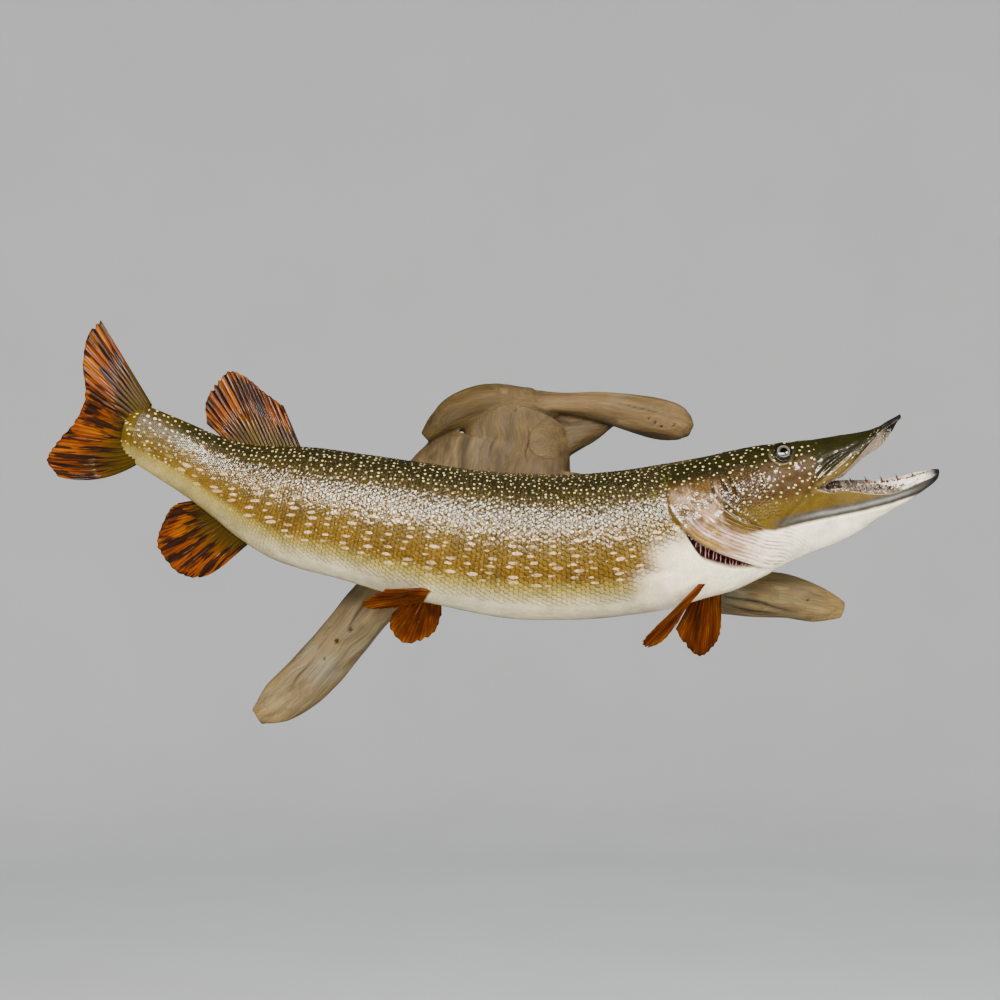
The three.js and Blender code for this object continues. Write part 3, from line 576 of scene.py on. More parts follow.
# ---- colours -------------------------------------------------------------------------------------
def rgb(code):
    """Linear colour from a hexadecimal sRGB one."""
    c = np.array([int(code[i:i + 2], 16) for i in (0, 2, 4)]) / 255
    return np.where(c <= 0.04045, c / 12.92, ((c + 0.055) / 1.055) ** 2.4)


BACK, UPPER_FLANK, FLANK, LOW_FLANK = rgb("1e1d02"), rgb("3b3002"), rgb("5e4908"), rgb("674c04")
BELLY_EDGE, BELLY, BREAST = rgb("98863c"), rgb("cfc49e"), rgb("fff0cc")
CROWN, SNOUT, CHEEK, AMBER = rgb("1b1a02"), rgb("151506"), rgb("3b2701"), rgb("56440e")
COVER, PINK, THROAT, MANDIBLE = rgb("523a0a"), rgb("b8958a"), rgb("fff2d4"), rgb("403f3b")
GILL_RED, ORBIT, CLEITHRUM = rgb("1e0205"), rgb("0e0d05"), rgb("5e5a0c")
JAW_TIP, PALATE, FOLD_GOLD = rgb("1a1b1e"), rgb("94806f"), rgb("5e4218")
GUM, RAMUS = rgb("2a1a0c"), rgb("fff6ea")


def mix(a, b, f):
    """Colours a with a part f of colour b, which may be a code."""
    f = np.asarray(f)[..., None]
    return a * (1 - f) + (rgb(b) if isinstance(b, str) else b) * f


def paint(p, s, fraction):
    """Broad colour, and the strength of small dots, bean spots and glints, at points of the outer skin."""
    u, v, lateral = world_to_head(p)
    uv, aside = np.stack([u, v], -1), np.abs(lateral)
    f = fraction + 0.02 * fractal(p * 0.03, 3, 40)
    colour = np.tile(BACK, (len(p), 1))
    for tone, start, stop in (
        (UPPER_FLANK, 0.16, 0.30), (FLANK, 0.30, 0.46), (LOW_FLANK, 0.50, 0.64), (BELLY_EDGE, 0.65, 0.74),
    ):
        colour = mix(colour, tone, smoothstep(start, stop, f))
    colour = mix(colour, BELLY, smoothstep(0.71, 0.86, f) * (1 - 0.8 * smoothstep(260, 80, s)))
    colour = mix(colour, "4f3d0c", 0.75 * smoothstep(75, 5, s) * smoothstep(1.0, 0.6, f))
    # shoulder: greenish streaks along the edge of the gill opening, and the pale breast
    d_gill, place = to_curve(uv, GILL_EDGE)
    green = smoothstep(-22, -6, d_gill) * (d_gill < 0) * smoothstep(0.12, 0.3, f) * smoothstep(-16, 4, v)
    streak = smoothstep(-0.1, 0.3, fractal(np.stack([d_gill * 0.42, v * 0.07, lateral * 0.02], -1), 2, 29))
    colour = mix(colour, CLEITHRUM, 0.7 * green * streak)
    colour = mix(colour, "2a2804", 0.8 * green * smoothstep(0.35, 0.6, streak) * bell(d_gill + 9, 2.5))
    breast = smoothstep(-60, -10, u) * smoothstep(0.60, 0.70, f)
    breast = np.maximum(breast, smoothstep(-40, 5, u) * smoothstep(10, -22, v) * (d_gill < 0))
    colour = mix(colour, BREAST, breast)
    # where the head begins, and the grounds of its cheek, cover and jaw
    soft_edge = smoothstep(-4.5, 3, d_gill + 2.5 * fractal(p * 0.15, 2, 27))
    ahead = np.where(v > 55, smoothstep(-4, 16, u), np.where(v > 8, soft_edge, d_gill > 0)) * (u > -12)
    head = np.tile(CHEEK, (len(p), 1))
    head = mix(head, COVER, smoothstep(62, 50, u) * smoothstep(60, 40, v))
    head = mix(head, AMBER, smoothstep(22, 6, v) * smoothstep(55, 75, u))
    # pinkish patches on the cheek and cover: partly a pink tint, partly a painted highlight
    on_cheek = bell(v - 27, 11) * window(u, 72, 90, 135, 158)
    on_cover = bell(v - 24, 16) * window(u, 4, 14, 30, 48)
    rosy_tint_and_highlight = np.maximum(on_cheek, on_cover) * smoothstep(-0.25, 0.5, fractal(p * 0.11, 3, 52))
    head = mix(head, PINK, 0.04 * rosy_tint_and_highlight)
    gold = window(d_gill, -1, 3, 26, 44) * smoothstep(16, -4, v) * smoothstep(112, 60, u)
    ribbon = np.stack([d_gill * 0.30, place * 9, 0.02 * lateral], -1)
    pearl = mix(rgb("8a6a30"), "c9a999", smoothstep(-0.25, 0.35, fractal(ribbon, 3, 17)))
    head = mix(head, mix(COVER, pearl, smoothstep(30, 16, d_gill + 0.6 * v)), 0.9 * gold)
    olive = smoothstep(43, 60, v) + smoothstep(150, 175, u) * smoothstep(20, 40, v)
    head = mix(head, CROWN, np.clip(olive, 0, 1))
    bone = smoothstep(1.5, -0.5, to_curve(uv, CREASES["maxilla"][0])[0]) * (u > 150) * (v > 12)
    head = mix(head, "5a4a20", 0.85 * bone * smoothstep(215, 190, u))
    # the jaw's grey border, the white below it and the dark tips
    below = v - np.interp(u, *np.array(MANDIBLE_EDGE).T)
    pale = smoothstep(1.5, -2.0, below) * smoothstep(52, 98, u - 0.5 * (v + 30))
    pale = np.maximum(pale, smoothstep(-30, -50, v) * smoothstep(20, 75, u) * 0.95)
    is_lower = (u > CORNER_U) & (v < np.interp(u, [156, 205, 290], [16, 26, 42]))
    head = mix(head, "5c4d22", 0.7 * is_lower * smoothstep(160, 185, u) * smoothstep(2, 10, below))
    wave = 2.0 * fractal(p * 0.07, 2, 33)
    grey = smoothstep(-2.2, 0.5, below) * smoothstep(14, 7, below + wave) * smoothstep(96, 120, u)
    head = mix(head, MANDIBLE, 0.85 * grey)
    # a painted highlight: a light grey stripe along the jaw's grey band
    head = mix(head, "92928e", 0.6 * bell(below - 5.6 + 0.6 * wave, 1.7) * window(u, 110, 170, 240, 282))
    blush = smoothstep(-0.1, 0.5, fractal(p * 0.06, 2, 71)) * smoothstep(170, 90, u)
    head = mix(head, mix(THROAT, "dfc0b2", 0.45 * blush), pale)
    tip = 0.35 * smoothstep(225, 262, u) + 0.65 * smoothstep(262, 286, u)
    head = mix(head, JAW_TIP, is_lower * tip * smoothstep(-3, 4, below))
    head = mix(head, SNOUT, (~is_lower) * smoothstep(205, 255, u) * 0.85)
    # round the eye
    over_u, over_v = u - EYE["u"], v - EYE["v"]
    r = np.hypot(over_u, over_v)
    side = smoothstep(9, 15, aside)
    head = mix(head, ORBIT, 0.8 * side * bell(r - 9.0, 1.4))
    # a pale arc under the eye: the lower lid's pale edge, partly a painted highlight
    lower_lid_edge_and_highlight = bell(np.hypot(over_u + 2, over_v * 1.15) - 12.6, 0.8) * smoothstep(8, -4, over_v)
    head = mix(head, "a39a6e", 0.45 * side * lower_lid_edge_and_highlight * smoothstep(12, -2, over_u))
    colour = mix(colour, head, ahead)
    # the cover's pale pearly patch, partly a painted highlight; painted shade in the crease lines and behind
    # the cover's rim; and the gill opening, in a near-black red that is partly painted shade
    cover_pearl_and_highlight = window(u, 4, 12, 52, 62) * window(v, -2, 10, 38, 50) * ahead
    colour = mix(colour, "a88c70", 0.7 * cover_pearl_and_highlight * smoothstep(-0.1, 0.35, fractal(p * 0.09, 3, 91)))
    # painted shade: the crease lines darkened by how deep they are
    painted_crease_shade = np.zeros(len(p))
    for line, depth, width in CREASES.values():
        painted_crease_shade = np.maximum(painted_crease_shade, min(1, depth / 1.6) * bell(to_curve(uv, line)[0], width * 0.9))
    colour = mix(colour, "171005", 0.75 * painted_crease_shade * (u > 40) * smoothstep(8, 14, aside) * (1 - 0.6 * pale))
    # painted shade: a ragged dark line in the step just behind the cover's raised edge, under its overhang
    rim = bell(d_gill + 0.8, 1.3) * window(place, 0.02, 0.1, 0.9, 0.97) * (v < 60)
    ragged = smoothstep(-0.35, 0.25, fractal(p * 0.12, 2, 23))
    colour = mix(colour, "3a2c14", 0.65 * ragged * rim * smoothstep(16, 24, aside))
    # the gill opening in a near-black red: the gills' colour, partly painted shade deep inside
    slit = slit_mask(u, v) * smoothstep(12, 20, aside)
    colour = mix(colour, GILL_RED, slit)
    # markings: dots on the back, beans on the flank, and dots on the head
    trunk = (1 - ahead) * (1 - breast)
    near_tail = smoothstep(95, 45, s) * smoothstep(0.75, 0.65, f)
    dots = trunk * smoothstep(0.0, 0.03, f) * np.maximum(smoothstep(0.50, 0.34, f), near_tail)
    beans = trunk * window(f, 0.36, 0.48, 0.68, 0.74) * (1 - 0.8 * near_tail)
    face = ahead * (1 - pale) * (1 - grey) * (1 - slit) * smoothstep(6, 14, v) * smoothstep(250, 235, u)
    face = face * (1 - 0.7 * smoothstep(20, 12, v) * smoothstep(66, 80, u))  # fewer low on the cheek
    face = face * (1 - smoothstep(60, 48, u) * smoothstep(52, 44, v))  # none on the cover
    face = face * (1 - gold) * smoothstep(LID + 1.5, LID + 3.5, r)
    lip_v = np.interp(u, [156, 170, 190, 205, 220, 235, 248], [16, 21, 29, 39, 50, 60, 66])
    lip_row = bell(v - lip_v - 4.6, 2.0)
    face = face * (1 + (lip_row - 1) * smoothstep(158, 170, u)) * (1 - is_lower)
    face = face * (1 - smoothstep(64, 68, v) * smoothstep(136, 146, u))
    mirror = window(u, 4, 12, 52, 62) * window(v, -4, 8, 44, 56) * ahead
    head_glint = 0.1 + 0.1 * rosy_tint_and_highlight + 0.08 * mirror + 0.15 * gold
    body_glint = smoothstep(40, 120, s) * (0.1 + trunk * (0.2 + 0.65 * bell(f - 0.38, 0.13)))
    glint = np.clip(ahead * head_glint + (1 - ahead) * body_glint, 0, 1)
    return colour, np.maximum(np.stack([dots, beans, face], -1), 0), glint


def flow_of(s, reach, room_side):
    """The coordinates that the markings are drawn in: along the body, down from the crown, and side."""
    return np.stack([s, np.where(room_side, reach, -reach), np.zeros_like(s)], -1) * MM


# ---- node materials ------------------------------------------------------------------------------
class Nodes:
    """Short calls that add and link shader nodes."""

    def __init__(self, name):
        self.material = bpy.data.materials.new(name)
        self.material.use_nodes = True
        self.tree = self.material.node_tree
        self.shader = self.tree.nodes["Principled BSDF"]

    def put(self, socket, value):
        if hasattr(value, "is_output"):
            self.tree.links.new(value, socket)
        else:
            socket.default_value = value

    def node(self, kind, inputs=None, out=0, **settings):
        n = self.tree.nodes.new("ShaderNode" + kind)
        for key, value in settings.items():
            setattr(n, key, value)
        for key, value in (inputs or {}).items():
            self.put(n.inputs[key], value)
        return n.outputs[out]

    def attribute(self, name, out="Vector"):
        return self.node("Attribute", attribute_name=name, out=out)

    def math(self, operation, a, b=0.0):
        return self.node("Math", {0: a, 1: b}, operation=operation)

    def scaled(self, vector, scale, offset=(0, 0, 0)):
        return self.node("Mapping", {"Vector": vector, "Scale": scale, "Location": offset})

    def ramp(self, value, low, high, to_low=0.0, to_high=1.0, smooth=True):
        inputs = {"Value": value, "From Min": low, "From Max": high, "To Min": to_low, "To Max": to_high}
        return self.node("MapRange", inputs, interpolation_type="SMOOTHSTEP" if smooth else "LINEAR")

    def blend(self, factor, a, b, kind="MIX"):
        n = self.tree.nodes.new("ShaderNodeMix")
        n.data_type, n.blend_type = "RGBA", kind
        self.put(n.inputs[0], factor)
        for socket, value in ((6, a), (7, b)):
            value = rgb(value) if isinstance(value, str) else value
            self.put(n.inputs[socket], value if hasattr(value, "is_output") else (*value, 1))
        return n.outputs[2]

    def shaded(self, colour, value, low, high, amount=1.0, source=(0.3, 0.7)):
        """A colour multiplied by a grey that runs from low to high."""
        grey = self.ramp(value, *source, low, high, smooth=False)
        return self.blend(amount, colour, self.node("CombineXYZ", {0: grey, 1: grey, 2: grey}), "MULTIPLY")

    def product(self, first, *others):
        for other in others:
            first = self.math("MULTIPLY", first, other)
        return first

    def colours(self, value, stops):
        """A colour ramp through (position, code) stops, of which there are at least two."""
        base = self.node("ValToRGB", {0: value})
        ramp = base.node.color_ramp
        (ramp.elements[0].position, first), (ramp.elements[1].position, last) = stops[0], stops[-1]
        ramp.elements[0].color, ramp.elements[1].color = (*rgb(first), 1), (*rgb(last), 1)
        for at, code in stops[1:-1]:
            ramp.elements.new(at).color = (*rgb(code), 1)
        return base

    def noise(self, vector, scale, detail=3.0, rough=0.5):
        inputs = {"Vector": vector, "Scale": scale, "Detail": detail, "Roughness": rough}
        return self.node("TexNoise", inputs)

    def voronoi(self, vector, randomness, out="Distance"):
        inputs = {"Vector": vector, "Scale": 1.0, "Randomness": randomness}
        return self.node("TexVoronoi", inputs, voronoi_dimensions="2D", out=out)

    def bump(self, height, strength, distance=0.001, under=None):
        inputs = {"Height": height, "Strength": strength, "Distance": distance}
        if under is not None:
            inputs["Normal"] = under
        return self.node("Bump", inputs)

    def finish(self, **sockets):
        for key, value in sockets.items():
            self.put(self.shader.inputs[key.replace("_", " ")], value)
        return self.material


def pleats_at(p):
    """Distance in mm from the gill edge, and how golden and how pale the fine pleats are there."""
    u, v, lateral = world_to_head(p)
    d, _ = to_curve(np.stack([u, v], -1), GILL_EDGE)
    on = smoothstep(1, 4, d) * smoothstep(8, 26, u) * smoothstep(8, 16, np.abs(lateral))
    gold = on * smoothstep(50, 34, d) * smoothstep(18, 4, v) * smoothstep(125, 85, u)
    pale = on * smoothstep(58, 40, d) * smoothstep(-8, -20, v) * smoothstep(150, 118, u)
    return np.stack([d, gold, np.maximum(pale, 0)], -1)


OBJECT = "Object"
PLEAT_PITCH = 3.7
SPOT, FLANK_SPOT = "dccb8c", "e0bb8e"


def spots(n, vector, cell, randomness, small, large, soft, keep=0.0):
    """Round spots, one in each cell of the flow, whose size varies from cell to cell."""
    scaled = n.scaled(vector, tuple(1 / (c * MM) for c in cell) + (1,))
    distance = n.voronoi(scaled, randomness)
    chance = n.node("SeparateColor", {0: n.voronoi(scaled, randomness, "Color")})
    radius = n.ramp(chance, keep, 1.0, small, large, smooth=False)
    inside = n.math("SUBTRACT", radius, distance)
    return n.ramp(inside, -soft, soft)


def pike_skin():
    n = Nodes("pike_skin")
    flow = n.attribute("flow")
    marks = n.node("SeparateXYZ", {0: n.attribute("marks")})
    dots_on, beans_on, face_on = marks, marks.node.outputs[1], marks.node.outputs[2]
    glint = n.attribute("glint", "Fac")
    place = n.node("TexCoord", out=OBJECT)
    colour = n.shaded(n.attribute("broad"), n.noise(place, 45, 4, 0.6), 0.74, 1.2)
    colour = n.shaded(colour, n.noise(place, 420, 2, 0.6), 0.84, 1.12, amount=0.8)
    # darker between the scales, with a little of each scale's own shade
    colour = n.blend(n.product(n.attribute("rim", "Fac"), 0.34), colour, "120e02")
    colour = n.shaded(colour, n.attribute("tint", "Fac"), 0.82, 1.18, source=(0, 1))
    # fine pleats over the rays of the gill cover and the throat
    pleat = n.node("SeparateXYZ", {0: n.attribute("pleats")})
    bend = n.product(n.noise(place, 30, 3), 10.0)
    wave = n.math("SINE", n.math("ADD", n.product(pleat, TAU / PLEAT_PITCH), bend))
    furrow = n.product(n.ramp(wave, 0.1, 0.95), n.ramp(n.noise(place, 70, 2), 0.38, 0.6, 0.15, 1.0))
    golden = n.product(furrow, pleat.node.outputs[1])
    faint = n.product(furrow, pleat.node.outputs[2])
    colour = n.blend(n.product(golden, 0.85), colour, tuple(FOLD_GOLD))
    colour = n.blend(n.product(faint, 0.4), colour, "a8846c")
    # pale markings
    drift = n.scaled(n.noise(flow, 160, 2).node.outputs[1], (0.003, 0.002, 0))
    wobble = n.node("VectorMath", {0: flow, 1: drift})
    dots = spots(n, wobble, (6.8, 5.9), 0.72, 0.09, 0.20, 0.045)
    streaks = spots(n, wobble, (21.0, 7.6), 0.55, 0.11, 0.25, 0.05)
    between = spots(n, wobble, (9.5, 6.4), 0.9, -0.10, 0.15, 0.04)
    flecks = spots(n, wobble, (8.0, 6.8), 0.75, 0.08, 0.165, 0.035)
    beans = n.math("MAXIMUM", streaks, n.product(between, 0.7))
    beans = n.product(beans, n.ramp(n.noise(place, 60, 1), 0.35, 0.55, 0.5, 1.0))
    mark = n.math("MAXIMUM", n.product(dots, dots_on), n.product(beans, beans_on))
    mark = n.math("MAXIMUM", mark, n.product(flecks, face_on))
    colour = n.blend(n.product(mark, 0.85), colour, n.blend(beans_on, SPOT, FLANK_SPOT))
    # painted sheen: pinkish flecks in the colour where the coat glints
    painted_sheen = n.product(glint, n.ramp(n.noise(flow, 420, 2, 0.7), 0.48, 0.64, 0.0, 0.16))
    colour = n.blend(painted_sheen, colour, "c9a094")
    # lacquer: waves in the coat, and a fine grit where it glints
    grit = n.noise(n.scaled(flow, (1.0, 0.62, 1.0)), 300, 2, 0.6)
    lacquer = n.bump(n.noise(place, 70, 2, 0.5), 0.25, 0.0022)
    lacquer = n.bump(n.noise(place, 190, 3, 0.55), 0.2, 0.0006, lacquer)
    lacquer = n.bump(n.math("SUBTRACT", 1.0, n.math("MAXIMUM", golden, faint)), 0.6, 0.0009, lacquer)
    sparkle = n.bump(grit, n.ramp(glint, 0.1, 0.8, 0.06, 1.0), 0.0014, lacquer)
    return n.finish(
        Base_Color=colour, Roughness=n.ramp(n.noise(place, 150, 2), 0.3, 0.7, 0.28, 0.42, smooth=False),
        Normal=sparkle, Coat_Normal=sparkle, Coat_Weight=n.ramp(glint, 0.0, 0.1, 0.3, 1.0),
        Coat_Roughness=0.05, Coat_IOR=n.ramp(glint, 0.1, 0.8, 1.52, 1.85), Specular_IOR_Level=0.2,
        Metallic=n.product(glint, 0.12),
    )


def mouth_lining():
    n = Nodes("mouth_lining")
    place = n.node("TexCoord", out=OBJECT)
    depth = n.attribute("depth", "Fac")
    colour = n.blend(n.ramp(n.noise(place, 120, 4, 0.6), 0.35, 0.65), "c9b3a4", "9c7a6c")
    # painted shade: darker deeper in the mouth
    colour = n.blend(n.ramp(depth, 0.0, 1.0), colour, "3a1c18")
    bump = n.bump(n.noise(place, 380, 3, 0.6), 0.5, 0.0008)
    return n.finish(Base_Color=colour, Roughness=0.3, Normal=bump, Coat_Weight=0.7, Coat_Roughness=0.1)


SKIN = pike_skin()
LINING = mouth_lining()

# ---- piece: skin ---------------------------------------------------------------------------------
skin = Builder()


def skin_grid(points, smooth_points, s, fraction, reach, near):
    """Adds a grid of the outer skin, painted by where its points lie on the smooth form."""
    flat = smooth_points.reshape(-1, 3)
    colour, marks, glint = paint(flat, s.ravel(), fraction.ravel())
    return skin.add(
        points, broad=colour, marks=marks, glint=glint, rim=0.0, tint=0.5, depth=0.0,
        flow=flow_of(s.ravel(), reach.ravel(), near.ravel()), pleats=pleats_at(flat),
    )


def inner_grid(points, depth, colour):
    """Adds a grid of the mouth's lining, darkened with depth by painted shade."""
    flat = points.reshape(-1, 3)
    return skin.add(
        points, broad=mix(colour, "3a100e", 0.85 * depth.ravel()), marks=(0.0, 0, 0), glint=0.0,
        flow=np.stack([flat[:, 0], flat[:, 2] + 3000, flat[:, 1]], -1) * MM,
        rim=0.0, tint=0.5, pleats=(0.0, 0, 0), depth=depth,
    )


on_near_side = np.arange(SIDES) <= HALF
body_index = skin_grid(
    skin_body, body_grid, body_s, body_fraction, body_reach, np.broadcast_to(on_near_side, body_s.shape),
)


def jaw_skin(points, smooth_points, s, fraction, columns):
    """A jaw's outer skin, with the corner ring of the body as its first row."""
    rows = len(points)
    index = skin_grid(
        points, smooth_points, s, fraction, at_corner(body_reach, columns, rows),
        np.broadcast_to(on_near_side[columns], s.shape),
    )
    return np.concatenate([body_index[-1:, columns], index])


upper_index = jaw_skin(skin_upper, upper_grid, upper_s, upper_fraction, upper_cols)
lower_index = jaw_skin(skin_lower, lower_grid, lower_s, lower_fraction, lower_cols)
skin.face(quads(body_index, closed=True))
skin.face(quads(upper_index))
skin.face(quads(lower_index))

# Palate and floor, whose edge columns are the lips.
corner = np.array([CORNER_U]), np.array([16.0]), w_up[:1], np.zeros(1)
corner_roof = mouth_rows(*corner, palate_shape, np.array([4.0]))
corner_floor = mouth_rows(*corner, floor_shape, np.array([18.0]))
# The roof's columns go from the near lip to the far lip, and the floor's go back.
roof_rows = np.concatenate([roof[::-1], corner_roof, inner_upper])
floor_rows = np.concatenate([floor[::-1], corner_floor[:, ::-1], inner_lower[:, ::-1]])
behind = len(GULLET_U)
roof_u = np.r_[GULLET_U[::-1], CORNER_U, u_up]
floor_u = np.r_[GULLET_U[::-1], CORNER_U, u_lo]


def inner_colour(rows, u, tip_from, main, speckled_to=0):
    """Lining of a jaw: a speckled gum inside the lips and in the rear, and a dark tip."""
    flat = rows.reshape(-1, 3)
    across = np.abs(q)[None]
    edge = np.broadcast_to(across, rows.shape[:2]).ravel()
    colour = np.tile(main, (len(flat), 1))
    colour = mix(colour, PALATE, 0.5 * smoothstep(-0.4, 0.6, fractal(flat * 0.2, 2, 48)))
    rear = smoothstep(speckled_to, speckled_to - 14, u)[:, None]
    bare = 1 - 0.3 * smoothstep(speckled_to - 48, speckled_to, u)[:, None]  # white grows towards the tip
    near = rows[..., 1] < rows[:, len(q) // 2, 1][:, None]
    bare = np.where(near, 1.3, bare)  # but not on the near side
    gum = (rear * smoothstep(bare + 0.03, bare - 0.03, across)).ravel()
    gum = np.maximum(gum, window(edge, 0.80, 0.86, 0.92, 0.98) * 0.3)
    blotch = 0.5 + 0.5 * noise3(flat * 0.42, 47)
    colour = mix(colour, mix(GUM, "c9b096", smoothstep(0.70, 0.80, blotch)), 0.9 * gum)
    tip = np.broadcast_to(smoothstep(tip_from, tip_from + 14, u)[:, None], rows.shape[:2]).ravel()
    return mix(colour, JAW_TIP, tip)


def painted_mouth_shade(u, light_from):
    """How deep in the mouth its rows are, from 0 at the front to 1 in the gullet, for the lining's painted
    shade.
    """
    return np.clip((light_from - u) / 40, 0, 1)[:, None] * (1 - 0.7 * q[None] ** 2)


roof_colour = inner_colour(roof_rows, roof_u, 232, PALATE)
floor_colour = inner_colour(floor_rows, floor_u, 273, RAMUS, 252)
roof_index = inner_grid(roof_rows, painted_mouth_shade(roof_u, 186), roof_colour)
floor_index = inner_grid(floor_rows, painted_mouth_shade(floor_u, 195), floor_colour)
floor_index[:behind, -1], floor_index[:behind, 0] = roof_index[:behind, 0], roof_index[:behind, -1]
roof_index[behind:, 0], roof_index[behind:, -1] = upper_index[:, -1], upper_index[:, 0]
floor_index[behind:, 0], floor_index[behind:, -1] = lower_index[:, -1], lower_index[:, 0]
skin.face(quads(roof_index))
skin.face(quads(floor_index))


def cap(loop):
    """Closes a loop of vertices with a hub at its middle."""
    points = np.concatenate(skin.points)[loop]
    extra = {key: np.concatenate(values)[loop[0]] for key, values in skin.extra.items()}
    hub = skin.add(points.mean(0)[None], **extra)
    skin.face(fan(loop, int(hub[0])))


cap(np.r_[roof_index[0], floor_index[0, 1:-1]])
cap(np.r_[upper_index[-1], roof_index[-1, 1:-1]])
cap(np.r_[lower_index[-1], floor_index[-1, 1:-1]])
cap(body_index[0])


def point_outwards(obj):
    bm = bmesh.new()
    bm.from_mesh(obj.data)
    bmesh.ops.recalc_face_normals(bm, faces=bm.faces)
    bm.to_mesh(obj.data)
    bm.free()


# The edges of the lining that were replaced by the lips are left out.
skin_points, skin_faces, skin_extra = skin.all()
used = np.zeros(len(skin_points), bool)
for group in skin_faces:
    used[group.ravel()] = True
renumber = np.cumsum(used) - 1
skin_points, skin_faces = skin_points[used], [renumber[group] for group in skin_faces]
skin_extra = {key: values[used] for key, values in skin_extra.items()}
skin_piece = make_object("pike_skin", skin_points, skin_faces, SKIN, skin_extra)
point_outwards(skin_piece)
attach(skin_piece, "root")
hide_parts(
    "head", "lower_jaw", "throat", "gill_cover_right", "gill_cover_left",
    "trunk_front", "trunk_middle", "trunk_rear",
)


# ---- the skin as two sheets that anything can be laid on -----------------------------------------
SHEET = 300  # places from the crown to the keel


def unrolled(columns, channels):
    """A sheet of one side, resampled evenly by girth from the crown to the keel."""
    even = np.linspace(0, 1, SHEET + 1)
    out = np.zeros((len(ring_s), SHEET + 1, channels.shape[-1]))
    for r in range(len(ring_s)):
        f = body_fraction[r, columns].copy()
        f[0] = 0
        for c in range(channels.shape[-1]):
            out[r, :, c] = np.interp(even, f, channels[r, columns, c])
    return out


# Channels: the point of the skin, its normal, the point of the smooth form, and mm down from the crown.
channels = np.concatenate([skin_body, grid_normals(skin_body, True), body_grid, body_reach[..., None]], -1)
near_columns = np.arange(HALF + 1)
far_columns = np.r_[0, np.arange(SIDES - 1, HALF - 1, -1)]
sheets = np.stack([unrolled(near_columns, channels), unrolled(far_columns, channels)])
half_girth = sheets[0, :, -1, 9]


def lay(s, fraction, side):
    """Channels of the skin at lengths, parts of the way down, and sides (0 room, 1 wall), and the sides.

    A part below 0 or over 1 goes on over the crown or under the keel, on the other side.
    """
    over_top, under = fraction < 0, fraction > 1
    fraction = np.where(over_top, -fraction, np.where(under, 2 - fraction, fraction))
    side = np.where(over_top | under, 1 - side, side)
    i = np.clip(np.interp(s, ring_s, np.arange(len(ring_s))), 0, len(ring_s) - 1.001)
    j = np.clip(fraction * SHEET, 0, SHEET - 0.001)
    i0, j0 = i.astype(int), j.astype(int)
    fi, fj = (i - i0)[:, None], (j - j0)[:, None]
    out = sheets[side, i0, j0] * (1 - fi) * (1 - fj) + sheets[side, i0 + 1, j0] * fi * (1 - fj)
    out += sheets[side, i0, j0 + 1] * (1 - fi) * fj + sheets[side, i0 + 1, j0 + 1] * fi * fj
    return out, side


def find_uv(u, v, side):
    """Length and part of the way down where one side of the head is at u, v."""
    s, fraction = S_NAPE + u, 0.5
    for _ in range(4):
        r = int(np.clip(np.interp(s, ring_s, np.arange(len(ring_s))), 0, len(ring_s) - 1))
        row_u, row_v, _ = world_to_head(sheets[side, r, :, 6:9])
        fraction = float(np.interp(-v, -row_v, np.linspace(0, 1, SHEET + 1)))
        s += u - float(row_u[int(fraction * SHEET)])
    return s, fraction


# ---- piece: scales -------------------------------------------------------------------------------
OUTLINE = 10  # points round a scale
BODY_ROW = 38  # scales from the crown to the keel
CHEEK_SCALE = 3.3
PALE = 0.42  # the belly and breast are smooth where the skin is lighter than this
SCALES_FROM, SCALES_TO = 12.0, S_NAPE + 74
UV_LENGTH, UV_GIRTH, UV_PLATE = 900, 620, 0.0028  # mm over the bake's picture, and a plate's part of it
angle = np.arange(OUTLINE) / OUTLINE * TAU
cos, sin = np.cos(angle), np.sin(angle)
# along the scale (positive to its free rear edge), and across it, for a scale of unit size
plate = np.concatenate([
    np.stack([cos * np.where(cos > 0, 0.5, 0.52), sin * 0.5], -1), np.stack([cos * 0.33, sin * 0.36], -1),
    [[0.0, 0.0], [0.0, 0.0]],
])
lift = np.r_[np.zeros(OUTLINE), np.full(OUTLINE, 0.75), 1.0, -0.35]
plate_rim = np.r_[np.ones(OUTLINE), np.full(OUTLINE, 0.15), 0.0, 1.0]
ring_a = np.arange(OUTLINE)
ring_b = np.roll(ring_a, -1)
plate_faces = np.concatenate([
    np.stack([ring_a, ring_b, ring_b + OUTLINE], -1),
    np.stack([ring_a, ring_b + OUTLINE, ring_a + OUTLINE], -1),
    fan(ring_a + OUTLINE, 2 * OUTLINE), fan(ring_a, 2 * OUTLINE + 1, flip=True),
])


def staggered(start, stop, pitch, row_of):
    """Sites of scales (length, part of the way down, side and size) in rows that alternate."""
    sites, s, row = [], start, 0
    while s < stop:
        half = float(np.interp(s, ring_s, half_girth))
        for side in (0, 1):
            fractions, size = row_of(half, row % 2 / 2, side)
            sites.append([(s, fraction, side, size) for fraction in fractions])
        s += pitch * size
        row += 1
    return np.concatenate(sites)


def body_row(half, shift, side):
    """A row of a fixed number of scales, which shrink towards the tail; crown and keel have one each."""
    fractions = (np.arange(BODY_ROW + 1) + shift) / BODY_ROW
    inside = (fractions > 0) & (fractions < 0.9999) if side else fractions <= 1.0001
    return fractions[inside], half / BODY_ROW


def cheek_row(half, shift, side):
    """A row of the small flush scales of the head, all of one size."""
    count = int(half / CHEEK_SCALE)
    return (np.arange(count) + shift + 0.25) / count, CHEEK_SCALE


def located(sites):
    """Where sites are on the smooth form: the points, u, v and the distance from the gill edge."""
    base = lay(sites[:, 0], sites[:, 1], sites[:, 2].astype(int))[0][:, 6:9]
    u, v, _ = world_to_head(base)
    return base, u, v, to_curve(np.stack([u, v], -1), GILL_EDGE)[0]


def jittered(sites, amount):
    sites = sites.copy()
    sites[:, 0] += rng.normal(0, amount, len(sites)) * sites[:, 3]
    sites[:, 1] += rng.normal(0, amount * 0.7, len(sites)) * sites[:, 3] / 200
    return sites


